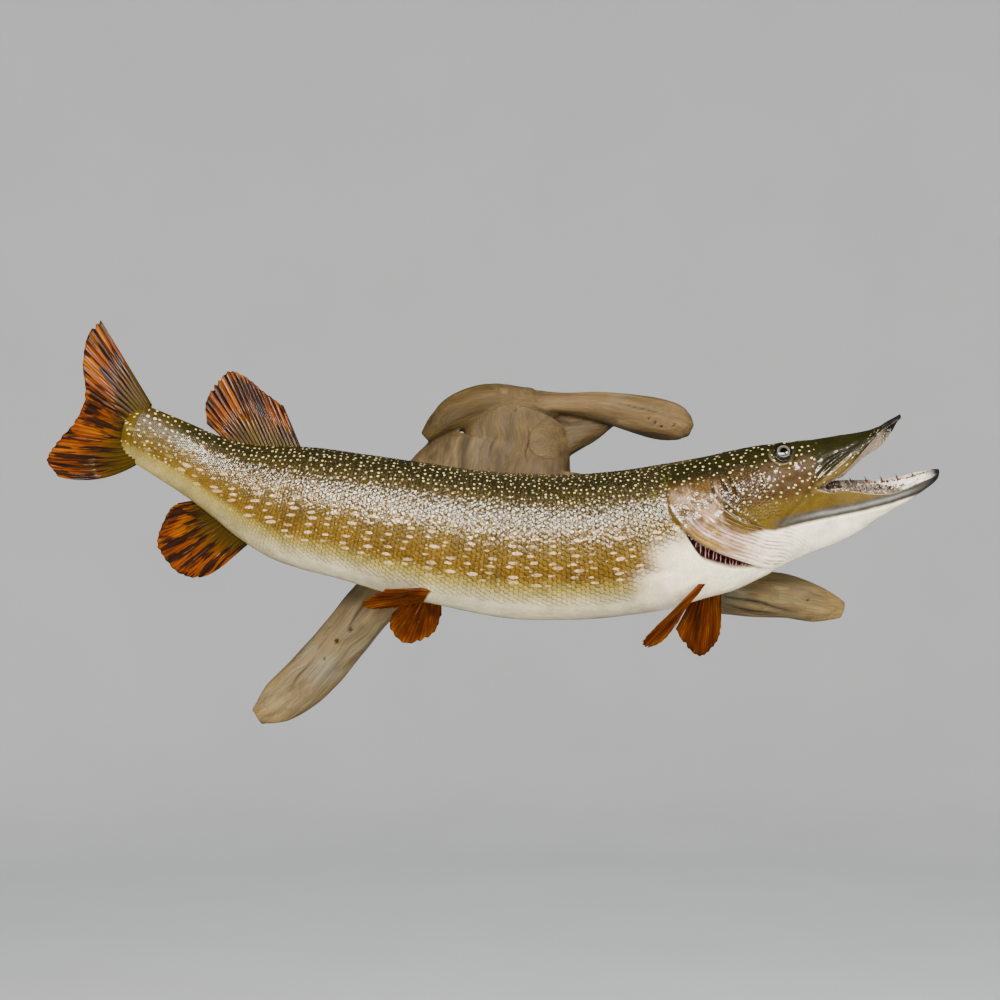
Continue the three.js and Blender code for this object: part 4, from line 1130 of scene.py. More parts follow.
body_sites = staggered(SCALES_FROM, SCALES_TO, 0.86, body_row)
base, u, v, d_gill = located(body_sites)
keep = np.where(v > 55, u < 13, (d_gill < -2.6)) | (u < -12)
keep &= (slit_mask(u, v) < 0.02) & ~((v < -44) & (u > 18)) & (u < 62)
keep &= paint(base, body_sites[:, 0], body_sites[:, 1])[0].mean(1) < PALE
body_sites = jittered(body_sites[keep], 0.05)
cheek_sites = staggered(S_NAPE - 2.0, S_NAPE + 122, 0.9, cheek_row)
base, u, v, d_gill = located(cheek_sites)
r = np.hypot(u - EYE["u"], v - EYE["v"])
cheek_edge = np.interp(v, [-5, 10, 22, 33, 44, 56], [90, 72, 62, 56, 55, 59])
on_cheek = (u > cheek_edge) & (u < 116 - 0.25 * v) & (v > -2) & (v < 60) & (r > 17)
on_cover = (d_gill > 4) & (u < cheek_edge - 4) & (v > 16) & (v < 60) & (u > 5)
cheek_sites = jittered(cheek_sites[on_cheek | on_cover], 0.14)


def scale_mesh(name, sites, length, width, sink, rise, dome, edge=1.0):
    """Closed, slightly dished plates that lie along the skin, each rooted in it and free at its rear."""
    n, k = len(sites), len(plate)
    s0, f0, size = sites[:, 0, None], sites[:, 1, None], sites[:, 3, None]
    side0 = sites[:, 2].astype(int)
    turn = rng.normal(0, 0.05, n)[:, None]
    a = plate[None, :, 0] * length * size
    b = plate[None, :, 1] * width * size
    a, b = a - b * turn, b + a * turn
    half = np.interp(sites[:, 0], ring_s, half_girth)[:, None]
    s = (s0 - a).ravel()
    data, side = lay(s, (f0 + b / half).ravel(), np.repeat(side0, k))
    height = sink + (rise - sink) * (plate[None, :, 0] + 0.52) / 1.02
    height = height * (1 + rng.normal(0, 0.12, n)[:, None])
    height = height + size * plate[None, :, 1] * rng.normal(0, 0.035, n)[:, None] + dome * lift[None]
    colour, marks, glint = paint(located(sites)[0], sites[:, 0], sites[:, 1])
    lightness = colour.mean(1)
    flatter = 1 - 0.85 * smoothstep(0.12, 0.38, lightness)
    verts = data[:, :3] + data[:, 3:6] * (height * flatter[:, None]).reshape(-1, 1)
    soft_rim = 1 - 0.93 * smoothstep(0.12, 0.5, lightness)
    extra = dict(
        broad=np.repeat(colour, k, 0), marks=np.repeat(marks, k, 0), glint=np.repeat(glint, k),
        flow=flow_of(s, data[:, 9], side == 0), rim=edge * np.repeat(soft_rim, k) * np.tile(plate_rim, n),
        tint=np.repeat(0.5 + (rng.random(n) - 0.5) * flatter, k), depth=np.zeros(n * k),
    )
    faces = (np.arange(n) * k)[:, None, None] + plate_faces[None]
    # each plate has a small patch of the bake's picture, laid out as on the flattened fish
    down = np.where(side0 == 0, 1, -1) * sites[:, 1] * half[:, 0]
    root_uv = np.column_stack([sites[:, 0] / UV_LENGTH, 0.5 + down / UV_GIRTH])
    uv = (root_uv[:, None] + plate[None] * UV_PLATE).reshape(-1, 2)
    obj = make_object(name, verts, faces.reshape(-1, 3), SKIN, extra, uv=uv)
    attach(obj, "root")


middle_s = (SCALES_FROM + S_NAPE) / 2
for side, side_name in enumerate(("right", "left")):
    for front, part in ((True, "front"), (False, "rear")):
        chosen = (body_sites[:, 2] == side) & ((body_sites[:, 0] > middle_s) == front)
        scale_mesh(
            f"scales_{side_name}_{part}", body_sites[chosen],
            length=1.5, width=1.22, sink=-0.3, rise=0.42, dome=0.10,
        )
scale_mesh("scales_head", cheek_sites, length=1.3, width=1.2, sink=-0.10, rise=0.15, dome=0.09, edge=0.35)


# ---- piece: fins ---------------------------------------------------------------------------------
# The root line runs inside the body, and the free edge follows the tips of the rays.
FINS = {
    "dorsal_fin": dict(
        rays=19, thick=6, kind=0.0, root=[[-204, -91, 43], [-241, -88, 45], [-274, -82, 50]],
        edge=[[-227, -93, 99], [-249, -90, 115], [-267, -88, 130], [-283, -86, 136], [-299, -82, 123],
              [-310, -80, 103], [-309, -79, 80]],
    ),
    "anal_fin": dict(
        rays=17, thick=6, kind=0.3, root=[[-258, -87, -40], [-287, -80, -21], [-313, -76, 1]],
        edge=[[-290, -87, -69], [-308, -86, -80], [-325, -84, -82], [-341, -81, -75], [-355, -78, -60],
              [-362, -75, -46], [-358, -73, -28], [-349, -73, -10], [-339, -74, -3]],
    ),
    "tail_fin": dict(
        rays=21, thick=13, kind=0.6, sag=9, root=[[-369, -70, 101], [-376, -70, 69], [-386, -70, 37]],
        edge=[[-423, -66, 191], [-437, -63, 177], [-443, -61, 146], [-441, -60, 111], [-451, -60, 86],
              [-472, -60, 61], [-481, -62, 43], [-469, -66, 25]],
    ),
    "pectoral_fin_right": dict(
        rays=12, thick=4, kind=1.0, root=[[212, -134, -82], [206, -126, -92], [196, -120, -99]],
        edge=[[156, -178, -128], [144, -172, -143], [150, -158, -150], [166, -143, -144], [183, -132, -126]],
    ),
    "pectoral_fin_left": dict(
        rays=12, thick=4, kind=1.0, root=[[231, -88, -90], [220, -88, -94], [208, -84, -92]],
        edge=[[232, -74, -127], [231, -70, -145], [222, -67, -159], [210, -66, -165], [195, -68, -153],
              [185, -72, -137]],
    ),
    "pelvic_fin_right": dict(
        rays=10, thick=4, kind=1.0, root=[[-60, -128, -92], [-66, -122, -97], [-72, -112, -101]],
        edge=[[-117, -158, -91], [-141, -152, -105], [-129, -138, -112], [-106, -124, -110]],
    ),
    "pelvic_fin_left": dict(
        rays=10, thick=4, kind=1.0, root=[[-62, -92, -101], [-76, -90, -100], [-90, -88, -98]],
        edge=[[-62, -78, -121], [-69, -74, -139], [-84, -72, -149], [-103, -72, -151], [-116, -74, -135],
              [-114, -78, -120]],
    ),
}
FIN_POINTS = 10  # points from ray to ray


def fin_material():
    n = Nodes("fin_lacquer")
    rays = n.attribute("rays")  # number of the ray, way out along it, and number of the fin
    out = n.node("SeparateXYZ", {0: rays}).node.outputs[1]
    kind = n.attribute("kind", "Fac")
    ridge = n.attribute("ridge", "Fac")
    drift = n.noise(n.scaled(rays, (0.30, 1.4, 5)), 1.0, 3)
    colour = n.colours(drift, [(0.30, "3c1800"), (0.50, "682e00"), (0.70, "8c4c00")])
    colour = n.blend(n.ramp(kind, 0.8, 0.95, 0.0, 0.3), colour, "1c0c02")
    olive = n.product(n.ramp(out, 0.72, 0.22), n.ramp(kind, 0.9, 0.7))
    colour = n.blend(olive, colour, "3c2e04")
    # dark streaks along the rays, fewer on the paired fins and none at the root
    streak = n.noise(n.scaled(rays, (1.05, 2.1, 9), (3.3, 0, 0)), 1.0, 2, 0.45)
    fine = n.noise(n.scaled(rays, (2.2, 3.2, 9), (0, 7, 0)), 1.0, 2, 0.5)
    dark = n.math("MAXIMUM", n.ramp(streak, 0.49, 0.54), n.product(n.ramp(fine, 0.54, 0.62), 0.85))
    dark = n.product(dark, n.ramp(kind, 0.8, 0.95, 1.0, 0.35), n.ramp(out, 0.08, 0.42), 0.92)
    colour = n.blend(dark, colour, "0a0806")
    colour = n.blend(n.ramp(ridge, 0.15, 0.6, 0.35, 0.0), colour, "2d1208")
    # painted glints: pale strokes along the ridges of the rays
    pale = n.ramp(n.noise(n.scaled(rays, (2.4, 2.4, 4), (9, 1, 0)), 1.0, 3, 0.6), 0.56, 0.70)
    colour = n.blend(n.product(pale, n.ramp(ridge, 0.6, 0.95), 0.22), colour, "c8945c")
    bump = n.bump(n.noise(n.node("TexCoord", out=OBJECT), 500, 2), 0.2, 0.0005)
    return n.finish(
        Base_Color=colour, Roughness=0.4, Normal=bump, Coat_Weight=0.3, Coat_Roughness=0.045,
        Specular_IOR_Level=0.05,
    )


FIN = fin_material()


def make_fin(name, number):
    """A closed fan of jointed, branching rays with a thin web between them."""
    spec = FINS[name]
    paired = spec["kind"] > 0.9
    rays, steps, thick = spec["rays"], 30 if paired else 44, spec["thick"]
    g = np.linspace(0, 1, rays * FIN_POINTS + 1)  # over the fan
    r = np.linspace(0, 1, steps + 1)  # out along the rays
    ray = g * rays
    start = catmull(spec["root"], g * (len(spec["root"]) - 1))
    stop = catmull(spec["edge"], g * (len(spec["edge"]) - 1))
    # the free edge, nicked between the rays and torn in places
    nick = 0.5 - 0.5 * np.cos(TAU * ray)
    tear = smoothstep(0.45, 0.8, noise3(np.stack([ray * 0.55, g * 0, g * 0 + number], -1), 7))
    uneven = 1 + noise3(np.stack([ray * 1.7, g * 0 + 3, g * 0 + number], -1), 8)
    reach = 1 - 0.010 * nick - 0.03 * tear * nick - 0.008 * uneven
    rr = r[None] * reach[:, None]
    middle = start[:, None] + (stop - start)[:, None] * rr[..., None]
    lower = np.maximum(0, 2 * g - 1) ** 2
    middle[..., 2] -= spec.get("sag", 0) * lower[:, None] * 4 * rr * (1 - rr)
    normal = unit(np.cross(np.gradient(middle, axis=0), np.gradient(middle, axis=1)))
    # half the thickness: a web, and rods that thin out and branch
    thin = 1 - 0.75 * smoothstep(0, 0.9, r)[None]
    spread = np.linalg.norm(np.gradient(middle, ray, axis=0), axis=-1)  # mm from ray to ray
    phase = TAU * ray[:, None]
    branch = smoothstep(0.42, 0.62, rr)
    single, double = 0.5 + 0.5 * np.cos(phase), 0.5 + 0.5 * np.cos(2 * phase)
    ridge = (1 - branch) * single ** 1.5 + branch * double ** 1.2
    from_rim = np.minimum(g, 1 - g)[:, None]
    web = thick * 0.5 * (1 - np.sqrt(r))[None] + 0.30
    rod = np.minimum(0.42 + 0.16 * spread, 1.25) * thin
    half = np.minimum(web * 0.85 + rod * ridge, (thick / 2) * (1 - np.sqrt(rr)) + 0.55 + 0.75 * thin * ridge)
    half = half + 0.35 * np.exp(-from_rim * rays / 1.2) * thin
    half = half * (1 + 0.10 * np.cos(TAU * rr * steps / 2.0) * ridge * smoothstep(0.3, 0.5, rr))
    # slow waves over the fan, and a pleat at each ray
    wave_at = np.stack([ray[:, None] * 0.28 + 0 * rr, rr * 1.3, 0 * rr + number], -1).reshape(-1, 3)
    wave = noise3(wave_at, 15).reshape(rr.shape) * smoothstep(0.05, 0.8, rr)
    pleat = 0.45 * np.cos(phase) * smoothstep(0.2, 0.9, rr) * np.minimum(1, spread / 5)
    middle = middle + ((1.0 if paired else 1.7) * wave + pleat)[..., None] * normal
    fin = Builder()
    looks = dict(
        rays=np.stack([ray[:, None] + 0 * rr, rr, 0 * rr + number], -1),
        ridge=ridge * (0.4 + 0.6 * smoothstep(0, 0.06, from_rim)), kind=spec["kind"],
    )
    top, bottom = (fin.add(middle + normal * half[..., None] * way, **looks) for way in (1, -1))
    fin.face(quads(top))
    fin.face(quads(bottom, flip=True))
    rims = [np.r_[side[:, 0], side[-1, 1:], side[-2::-1, -1], side[0, -2:0:-1]] for side in (top, bottom)]
    fin.face(quads(np.stack(rims, 1).T, closed=True))
    obj = fin.build(name + "_looks", FIN)
    point_outwards(obj)
    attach(obj, "root")
    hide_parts(name)


for number, fin_name in enumerate(FINS):
    make_fin(fin_name, number)


# ---- piece: eyes ---------------------------------------------------------------------------------
IRIS_END = 12.0  # mm from the middle of the pupil


def eye_material():
    n = Nodes("eye_glass")
    from_pupil = n.math("DIVIDE", n.attribute("iris", "Fac"), IRIS_END)
    colour = n.colours(from_pupil, [
        (0.0, "020202"), (0.325, "020202"), (0.345, "6a6854"), (0.375, "32311f"), (0.43, "45443a"),
        (0.49, "75756c"), (0.53, "5e5d54"), (0.565, "15140e"), (0.585, "060503"), (1.0, "060604"),
    ])
    colour = n.shaded(colour, n.noise(n.attribute("turn"), 9.0, 3, 0.6), 0.72, 1.25)
    return n.finish(Base_Color=colour, Roughness=0.12, Coat_Weight=1.0, Coat_Roughness=0.01, Coat_IOR=1.6)


EYE_LOOK = eye_material()
EYE_RINGS, EYE_SPOKES, LID_SPOKES = 34, 72, 88
for sign, side_name in ((1, "right"), (-1, "left")):
    centre, outward, first, second = eye_frame(sign)
    polar = np.linspace(0, math.pi * 0.72, EYE_RINGS + 1)[1:, None]
    around = np.arange(EYE_SPOKES) / EYE_SPOKES * TAU
    spoke = np.cos(around)[:, None] * first + np.sin(around)[:, None] * second
    flat = np.sin(polar)[..., None] * spoke[None] * EYE["radius"]
    up = np.cos(polar)[..., None] * outward * EYE["depth"]
    iris = np.where(polar > math.pi / 2, IRIS_END, np.sin(np.minimum(polar, math.pi / 2)) * EYE["radius"])
    turn = np.stack([np.cos(around), np.sin(around), 0 * around], -1)
    ball = Builder()
    ball.tube(
        centre + flat + up, centre + outward * EYE["depth"], centre - outward * EYE["depth"] * 0.7,
        dict(iris=0.0, turn=(0.0, 0, 0)), dict(iris=IRIS_END, turn=(0.0, 0, 0)),
        iris=np.repeat(iris, EYE_SPOKES, 1), turn=np.repeat(turn[None], EYE_RINGS, 0),
    )
    eye = ball.build(f"eye_{side_name}_looks", EYE_LOOK)
    point_outwards(eye)
    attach(eye, "root")
    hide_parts(f"eye_{side_name}")


skin_tree = BVHTree.FromPolygons(
    [Vector(p) for p in skin_points], [tuple(int(i) for i in f) for group in skin_faces for f in group]
)
# Rings of the lids: radius, drop from the lid's height, and height over the skin where it follows that.
LID_RINGS = [
    (LID - 0.5, 2.6, None), (LID - 0.15, 0.8, None), (LID, 0.2, None), (LID + 0.25, 0.0, None),
    (LID + 0.6, 0.0, None), (LID + 1.0, 0.05, None), (LID + 1.6, 0.15, None), (LID + 2.2, 0.15, None),
    (11.1, 0.0, 0.30), (11.9, 0.0, 0.10), (12.8, 0.0, -0.45),
]
ABOVE = 30  # height from which rays are cast down to the skin
for sign, side_name in ((1, "right"), (-1, "left")):
    centre, outward, first, second = eye_frame(sign)
    around = np.arange(LID_SPOKES) / LID_SPOKES * TAU
    spoke = np.cos(around)[:, None] * first + np.sin(around)[:, None] * second
    rows = []
    for k, (r, drop, over_skin) in enumerate(LID_RINGS):
        ripple = 0.07 * np.sin(around * 5 + k) + 0.05 * np.sin(around * 9 + 2 * k)
        height = np.full(LID_SPOKES, lid_height(r) - drop) + (ripple if k > 3 else 0)
        if over_skin is not None:
            for m in range(LID_SPOKES):
                hit = skin_tree.ray_cast(Vector(centre + spoke[m] * r + outward * ABOVE), Vector(-outward))
                if hit[0] is not None:
                    height[m] = ABOVE - hit[3] + over_skin
        rows.append(centre + spoke * r + outward * height[:, None])
    grid = np.array(rows)
    flat = grid.reshape(-1, 3)
    colour, marks, glint = paint(flat, np.full(len(flat), S_NAPE + EYE["u"]), np.full(len(flat), 0.15))
    radii = np.array([ring[0] for ring in LID_RINGS])
    colour = mix(colour, ORBIT, 0.9 * np.repeat(smoothstep(LID + 1.8, LID + 1.2, radii), LID_SPOKES))
    u, v, lateral = world_to_head(flat)
    lid = Builder()
    index = lid.add(
        grid, broad=colour, marks=marks, glint=glint * 0, rim=0.0, tint=0.5, depth=0.0,
        flow=np.stack([S_NAPE + u, 60 - v + 12, 0 * u], -1) * MM * sign,
    )
    lid.face(quads(index, closed=True, flip=sign < 0))
    eyelid = lid.build(f"eyelid_{side_name}", SKIN)
    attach(eyelid, "root")


# ---- pieces: teeth, tongue and gills -------------------------------------------------------------
def enamel(name, light, dark):
    n = Nodes(name)
    tip = n.attribute("tip", "Fac")
    colour = n.blend(n.ramp(n.noise(n.node("TexCoord", out=OBJECT), 300, 2), 0.35, 0.65), light, dark)
    colour = n.blend(n.ramp(tip, 0.0, 0.55, 0.85, 0.0), colour, "5c3618")
    return n.finish(Base_Color=colour, Roughness=0.25, Coat_Weight=0.8, Coat_Roughness=0.08)


SUNK = 0.35  # part of a spike's height that it goes into what it grows from


def spike(builder, base, direction, bend, height, radius, segments=6):
    """A curved, closed cone, sunk in what it grows from."""
    direction = unit(direction)
    side = unit(np.cross(direction, [0.3, 0.8, 0.52]))
    other = np.cross(direction, side)
    h = np.array([-SUNK, 0.0, 0.35, 0.7, 0.92])
    thick = np.array([1.0, 1.0, 0.72, 0.38, 0.12])
    around = np.arange(segments) / segments * TAU
    loop = np.cos(around)[:, None] * side + np.sin(around)[:, None] * other
    lean = 0.28 * height * bend
    spine = base + direction * (h * height)[:, None] + lean * (np.maximum(h, 0) ** 2)[:, None]
    builder.tube(
        spine[:, None] + loop[None] * (thick * radius)[:, None, None],
        base - direction * height * SUNK, base + direction * height + lean, dict(tip=-SUNK), dict(tip=1.0),
        tip=np.repeat(h[:, None], segments, 1),
    )


LOWER_TEETH = dict(first=186, last=264, count=6, high=7.4, low=3.6, radius=1.1)
into_head = head_to_world(0, 1, 0) - head_to_world(0, 0, 0)
back_along = head_to_world(-1, 0, 0) - head_to_world(0, 0, 0)


def lip_at(lip, u, side, inset):
    """Level and lateral place of a lip at u, moved inwards."""
    level, wide, roll = (float(np.interp(u, lip[0], row)) for row in lip[1:])
    lateral = side * (wide - inset)
    return level - lateral * math.sin(math.radians(roll)), lateral


canines, teeth, gums = Builder(), Builder(), Builder()  # gums are papillae round the small teeth
for side in (-1, 1):
    inwards = np.array([0, side * 1.0, 0])
    for f in np.linspace(0, 1, LOWER_TEETH["count"]):
        u = LOWER_TEETH["first"] + f * (LOWER_TEETH["last"] - LOWER_TEETH["first"])
        v, lateral = lip_at(LOWER_LIP, u, side, 2.6)
        height = LOWER_TEETH["low"] + (LOWER_TEETH["high"] - LOWER_TEETH["low"]) * math.sin(math.pi * f)
        base = head_to_world(u, v + 1.2, lateral)
        spike(canines, base, into_head + 0.25 * inwards, back_along, height, LOWER_TEETH["radius"], 10)
    for u in np.arange(172, 283, 1.7):
        v, lateral = lip_at(LOWER_LIP, u, side, 1.2 + rng.uniform(0, 2.2))
        base = head_to_world(u, v + 1.6 * smoothstep(280, 262, u), lateral)
        spike(teeth, base, into_head + 0.2 * inwards, back_along, rng.uniform(1.3, 3.0), 0.5)
    for u in np.arange(168, 276, 0.95):
        v, lateral = lip_at(LOWER_LIP, u, side, 0.9 + rng.uniform(0, 2.4))
        height, lean = rng.uniform(1.4, 3.0) * smoothstep(272, 222, u), rng.uniform(-0.5, 0.5, 3)
        base = head_to_world(u, v + 0.4, lateral)
        spike(gums, base, into_head + 0.2 * inwards + lean, back_along, height + 0.6, rng.uniform(0.6, 1.1))
    for u in np.arange(172, 254, 0.42):  # the speckled inner wall of the lower jaw
        deep, level, wide, roll = (float(np.interp(u, u_lo, row)) for row in (trough, v_lo, w_lo, r_lo))
        down = rng.uniform(0.3 + 4.0 * smoothstep(215, 252, u), max(6.0, min(12.0, 0.75 * deep)))
        down = min(down, 0.9 * deep)
        lateral = side * 0.9 * (1 - down / deep) ** (1 / 3.2) * wide
        v = level - down - lateral * math.sin(math.radians(roll))
        direction = into_head + rng.uniform(-0.5, 0.5, 3) + 1.3 * inwards
        pearl = rng.random() < 0.24
        height = rng.uniform(1.4, 2.6) * smoothstep(262, 244, u)
        girth = rng.uniform(0.9, 1.4) if pearl else rng.uniform(0.6, 1.1)
        base = head_to_world(u, v, lateral)
        spike(teeth if pearl else gums, base, direction, back_along, height + 0.5, girth)
    for u in np.arange(166, 259, 1.9):
        v, lateral = lip_at(UPPER_LIP, u, side, 1.2 + rng.uniform(0, 0.8))
        base = head_to_world(u, v + 0.5, lateral)
        spike(teeth, base, -into_head + 0.2 * inwards, back_along, rng.uniform(1.2, 2.2), 0.42)
    for u in np.arange(178, 250, 1.8):  # the bands of the palate
        level, wide, drop = (float(np.interp(u, u_up, row)) for row in (v_up, w_up, palate_drop))
        for place_q in (0.16, 0.30, 0.44):
            q_at = side * (place_q + rng.uniform(-0.05, 0.05))
            v = level + float(palate_shape(np.array([q_at]), np.array([drop]))[0])
            height = rng.uniform(1.2, 2.6) * (1.3 if place_q < 0.2 else 1.0)
            spike(teeth, head_to_world(u, v + 0.4, q_at * wide), -into_head, back_along, height, 0.5)
canine_piece = canines.build("canines", enamel("canine", "3a2c1a", "120c08"))
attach(canine_piece, "root")
teeth_piece = teeth.build("teeth", enamel("enamel", "e9dcc0", "c9b48c"))
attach(teeth_piece, "root")


def gum_tissue():
    n = Nodes("gum_tissue")
    pearly = n.ramp(n.noise(n.node("TexCoord", out=OBJECT), 300, 2), 0.56, 0.62)
    colour = n.blend(pearly, "2c190b", "b8937a")
    return n.finish(Base_Color=colour, Roughness=0.35, Coat_Weight=0.8, Coat_Roughness=0.08)


gum_piece = gums.build("gum_fringe", gum_tissue())
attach(gum_piece, "root")
# u, top, level, bottom and half width
TONGUE = np.array([
    [128, 3, 1.5, 1, 6], [150, 7, 0, -3, 11], [185, 8, 0, -5.5, 12], [212, 5, 0, -5, 9], [228, 1, -1, -3, 4],
])
tongue_rows = np.column_stack([TONGUE, np.tile((2.2, 2.0, 0.0), (len(TONGUE), 1))])
tongue_sections = catmull(head_rows(tongue_rows), np.linspace(0, len(TONGUE) - 1, 70))
tongue_theta = np.arange(48) / 48 * TAU
tongue_grid = section_points(tongue_sections, tongue_theta, -0.35)
bumps = 0.25 * fractal(tongue_grid.reshape(-1, 3) * 0.5, 3, 81).reshape(tongue_grid.shape[:2])
furrow = -0.6 * bell(np.sin(tongue_theta), 0.25) * (np.cos(tongue_theta) > 0)
tongue_grid = tongue_grid + grid_normals(tongue_grid, True) * (bumps - 0.25 + furrow[None])[..., None]
tongue = Builder()
# the tongue gets a little of the mouth's painted shade
tongue.tube(tongue_grid, *tongue_grid[[0, -1]].mean(1), depth=0.15)
tongue_piece = tongue.build("tongue_looks", LINING)
point_outwards(tongue_piece)
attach(tongue_piece, "root")
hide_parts("tongue")


def gill_material():
    n = Nodes("gill_tissue")
    place = n.node("TexCoord", out=OBJECT)
    tip = n.attribute("tip", "Fac")
    red = n.blend(n.ramp(n.noise(place, 260, 3), 0.35, 0.65), "6e1422", "2c060c")
    # pale pink lower ends: partly the filaments' colour, partly a painted highlight
    red = n.blend(n.ramp(tip, 0.35, 0.9, 0.0, 0.85), red, "c08a80")
    # painted shadow: the strands darker at the top, under the gill cover
    red = n.blend(n.ramp(tip, 0.5, 0.1, 0.0, 0.9), red, "120204")
    bump = n.bump(n.noise(place, 900, 2), 0.4, 0.0004)
    return n.finish(Base_Color=red, Roughness=0.3, Normal=bump, Coat_Weight=1.0, Coat_Roughness=0.08)


GILL = gill_material()
STRANDS, STRAND_RINGS, STRAND_SPOKES = 16, 6, 8
slit_upper = catmull(SLIT_UPPER, np.linspace(0, 4, 60))
slit_lower = catmull(SLIT_LOWER[::-1], np.linspace(0, 6, 60))
slit_lower = slit_lower[np.argsort(slit_lower[:, 0])]
around = np.arange(STRAND_SPOKES) / STRAND_SPOKES * TAU
for side, side_name in enumerate(("right", "left")):
    outwards = np.array([0, -1.0 if side == 0 else 1.0, -0.25])
    combs = Builder()
    for k in range(STRANDS):
        f = 0.13 + 0.76 * k / (STRANDS - 1) + rng.uniform(-0.012, 0.012)
        top = slit_upper[int(f * 59)]
        hang = top[0] - 3.2 + rng.uniform(-1.4, 1.4)
        bottom = np.array([hang, float(np.interp(hang, *slit_lower.T))])
        start = top + (top - bottom) * 0.25
        stop = bottom + (top - bottom) * rng.uniform(0.04, 0.36)  # ends short of the slit's lower edge
        lift_out = rng.uniform(0, 0.6)
        spine = []
        for w in np.linspace(0, 1, STRAND_RINGS):
            s_at, f_at = find_uv(*(start * (1 - w) + stop * w), side)
            surface = lay(np.array([s_at]), np.array([f_at]), np.array([side]))[0][0, 6:9]
            inset = 4.6 - 1.4 * math.sin(math.pi * w) - lift_out - 3.9 * w ** 1.5
            spine.append(surface - outwards * inset)
        spine = np.array(spine)
        thick = np.array([0.8, 1.1, 1.2, 1.1, 0.8, 0.3]) * rng.uniform(0.65, 1.15)
        run = unit(np.gradient(spine, axis=0))
        a_side = unit(np.cross(run, [0, 1.0, 0.2]))
        b_side = np.cross(run, a_side)
        loop = np.cos(around)[:, None] * a_side[:, None] * 0.62 + np.sin(around)[:, None] * b_side[:, None]
        combs.tube(
            spine[:, None] + loop * thick[:, None, None], spine[0], spine[-1], dict(tip=0.0), dict(tip=1.0),
            tip=np.repeat(np.linspace(0, 1, STRAND_RINGS)[:, None], STRAND_SPOKES, 1),
        )
    gill = combs.build(f"gills_{side_name}_looks", GILL)
    point_outwards(gill)
    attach(gill, "root")
    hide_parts(f"gills_{side_name}")


# ---- piece: driftwood ----------------------------------------------------------------------------
# Limbs: x and z of the centre line, half width across it, and y of the front and of the back.
WOOD = {
    "core": [
        [14, 120, 30, -44, -16], [13, 104, 47, -56, -8], [13, 80, 52, -62, 6], [14, 61, 61, -64, 12],
        [9, 44, 84, -64, 14], [6, 22, 112, -64, 14], [4, -5, 118, -64, 14], [4, -50, 112, -62, 14],
        [0, -88, 84, -56, 10], [-2, -108, 44, -44, -10],
    ],
    "lobe": [
        [36, 106, 15, -52, -12], [-11, 105, 21, -60, -10], [-43, 94, 21, -58, -10], [-64, 81, 15, -52, -12],
        [-80, 67, 7, -42, -20],
    ],
    "arm": [
        [21, 105, 15, -50, -14], [64, 103, 13, -52, -12], [107, 100, 16, -54, -10], [150, 92, 21, -54, -8],
        [180, 85, 22, -50, -8], [197, 79, 16, -44, -12], [206, 75, 7, -36, -18],
    ],
    "web": [[40, 62, 34, -44, -6], [78, 74, 22, -40, -6], [104, 80, 13, -36, -8], [122, 85, 5, -30, -14]],
    "limb_left": [
        [-60, -34, 32, -48, -4], [-124, -99, 28, -46, -4], [-163, -143, 27, -44, -4],
        [-204, -188, 28, -42, -4], [-236, -217, 24, -38, -6], [-262, -234, 10, -30, -12],
    ],
    "limb_right": [
        [90, -52, 34, -50, -4], [190, -84, 30, -50, -4], [262, -100, 26, -48, -4], [308, -105, 24, -44, -6],
        [342, -112, 20, -38, -8], [370, -119, 9, -30, -12],
    ],
}
CRACKS = [  # line in x and z, depth, half width
    ([[30, 102], [45, 95], [58, 90], [74, 82], [95, 85]], 3.0, 1.5),
    ([[-140, -104], [-147, -113], [-157, -128], [-163, -140]], 2.6, 1.2),
    ([[228, -100], [250, -105], [275, -110], [300, -117], [322, -121]], 3.0, 1.3),
    ([[240, -112], [270, -119], [292, -121]], 1.8, 1.0),
    ([[28, 80], [31, 66], [27, 50], [30, 36]], 1.2, 0.8),
    ([[-196, -166], [-214, -186], [-226, -205]], 1.3, 0.9),
    ([[120, 104], [150, 98], [178, 90]], 1.0, 0.8),
    ([[-2, 70], [-10, 55], [-9, 40]], 0.9, 0.8),
]
HOLES = [  # x, z and radius
    (-175, -151, 3.4), (-160, -139, 2.6), (165, 82, 1.6), (172, 78, 1.2), (158, 86, 1.1), (186, 80, 1.4),
    (-188, -170, 1.6), (330, -108, 1.3), (16, 96, 1.5),
]
HOLE_DEPTH = 4.5
LIMB_SPOKES = 64
VOXEL = 1.75  # size of the wood's faces
SEAT_GAP = 2.2  # between the fish and the wood behind it


def limb_shell(rows, seed):
    """Closed rings round a limb, worn a little out of round."""
    rows = np.asarray(rows, float)
    t = np.linspace(0, len(rows) - 1, 30 * (len(rows) - 1) + 1)
    x, z, wide, front, back = (column[:, None] for column in catmull(rows, t).T)
    ahead, behind = catmull(rows, np.minimum(t + 0.05, len(rows) - 1)), catmull(rows, np.maximum(t - 0.05, 0))
    along = unit((ahead - behind)[:, :2])
    angle = np.arange(LIMB_SPOKES)[None] / LIMB_SPOKES * TAU
    wear = 1 + 0.035 * np.sin(3 * angle + seed + 1.7 * t[:, None])
    wear = wear + 0.025 * np.sin(5 * angle - 2.3 * t[:, None])
    sin, cos = np.sin(angle), np.cos(angle)
    across = (wide - 0.4) * np.sign(sin) * np.abs(sin) ** 0.85 * wear
    depth = ((back - front) / 2 - 0.4) * np.sign(cos) * np.abs(cos) ** 0.85 * wear
    y = np.minimum((front + back) / 2 - depth, 0)
    return np.stack([x - across * along[:, 1:], y, z + across * along[:, :1]], -1)


def vertex_rows(mesh, field):
    values = np.empty(len(mesh.vertices) * 3)
    mesh.vertices.foreach_get(field, values)
    return values.reshape(-1, 3)


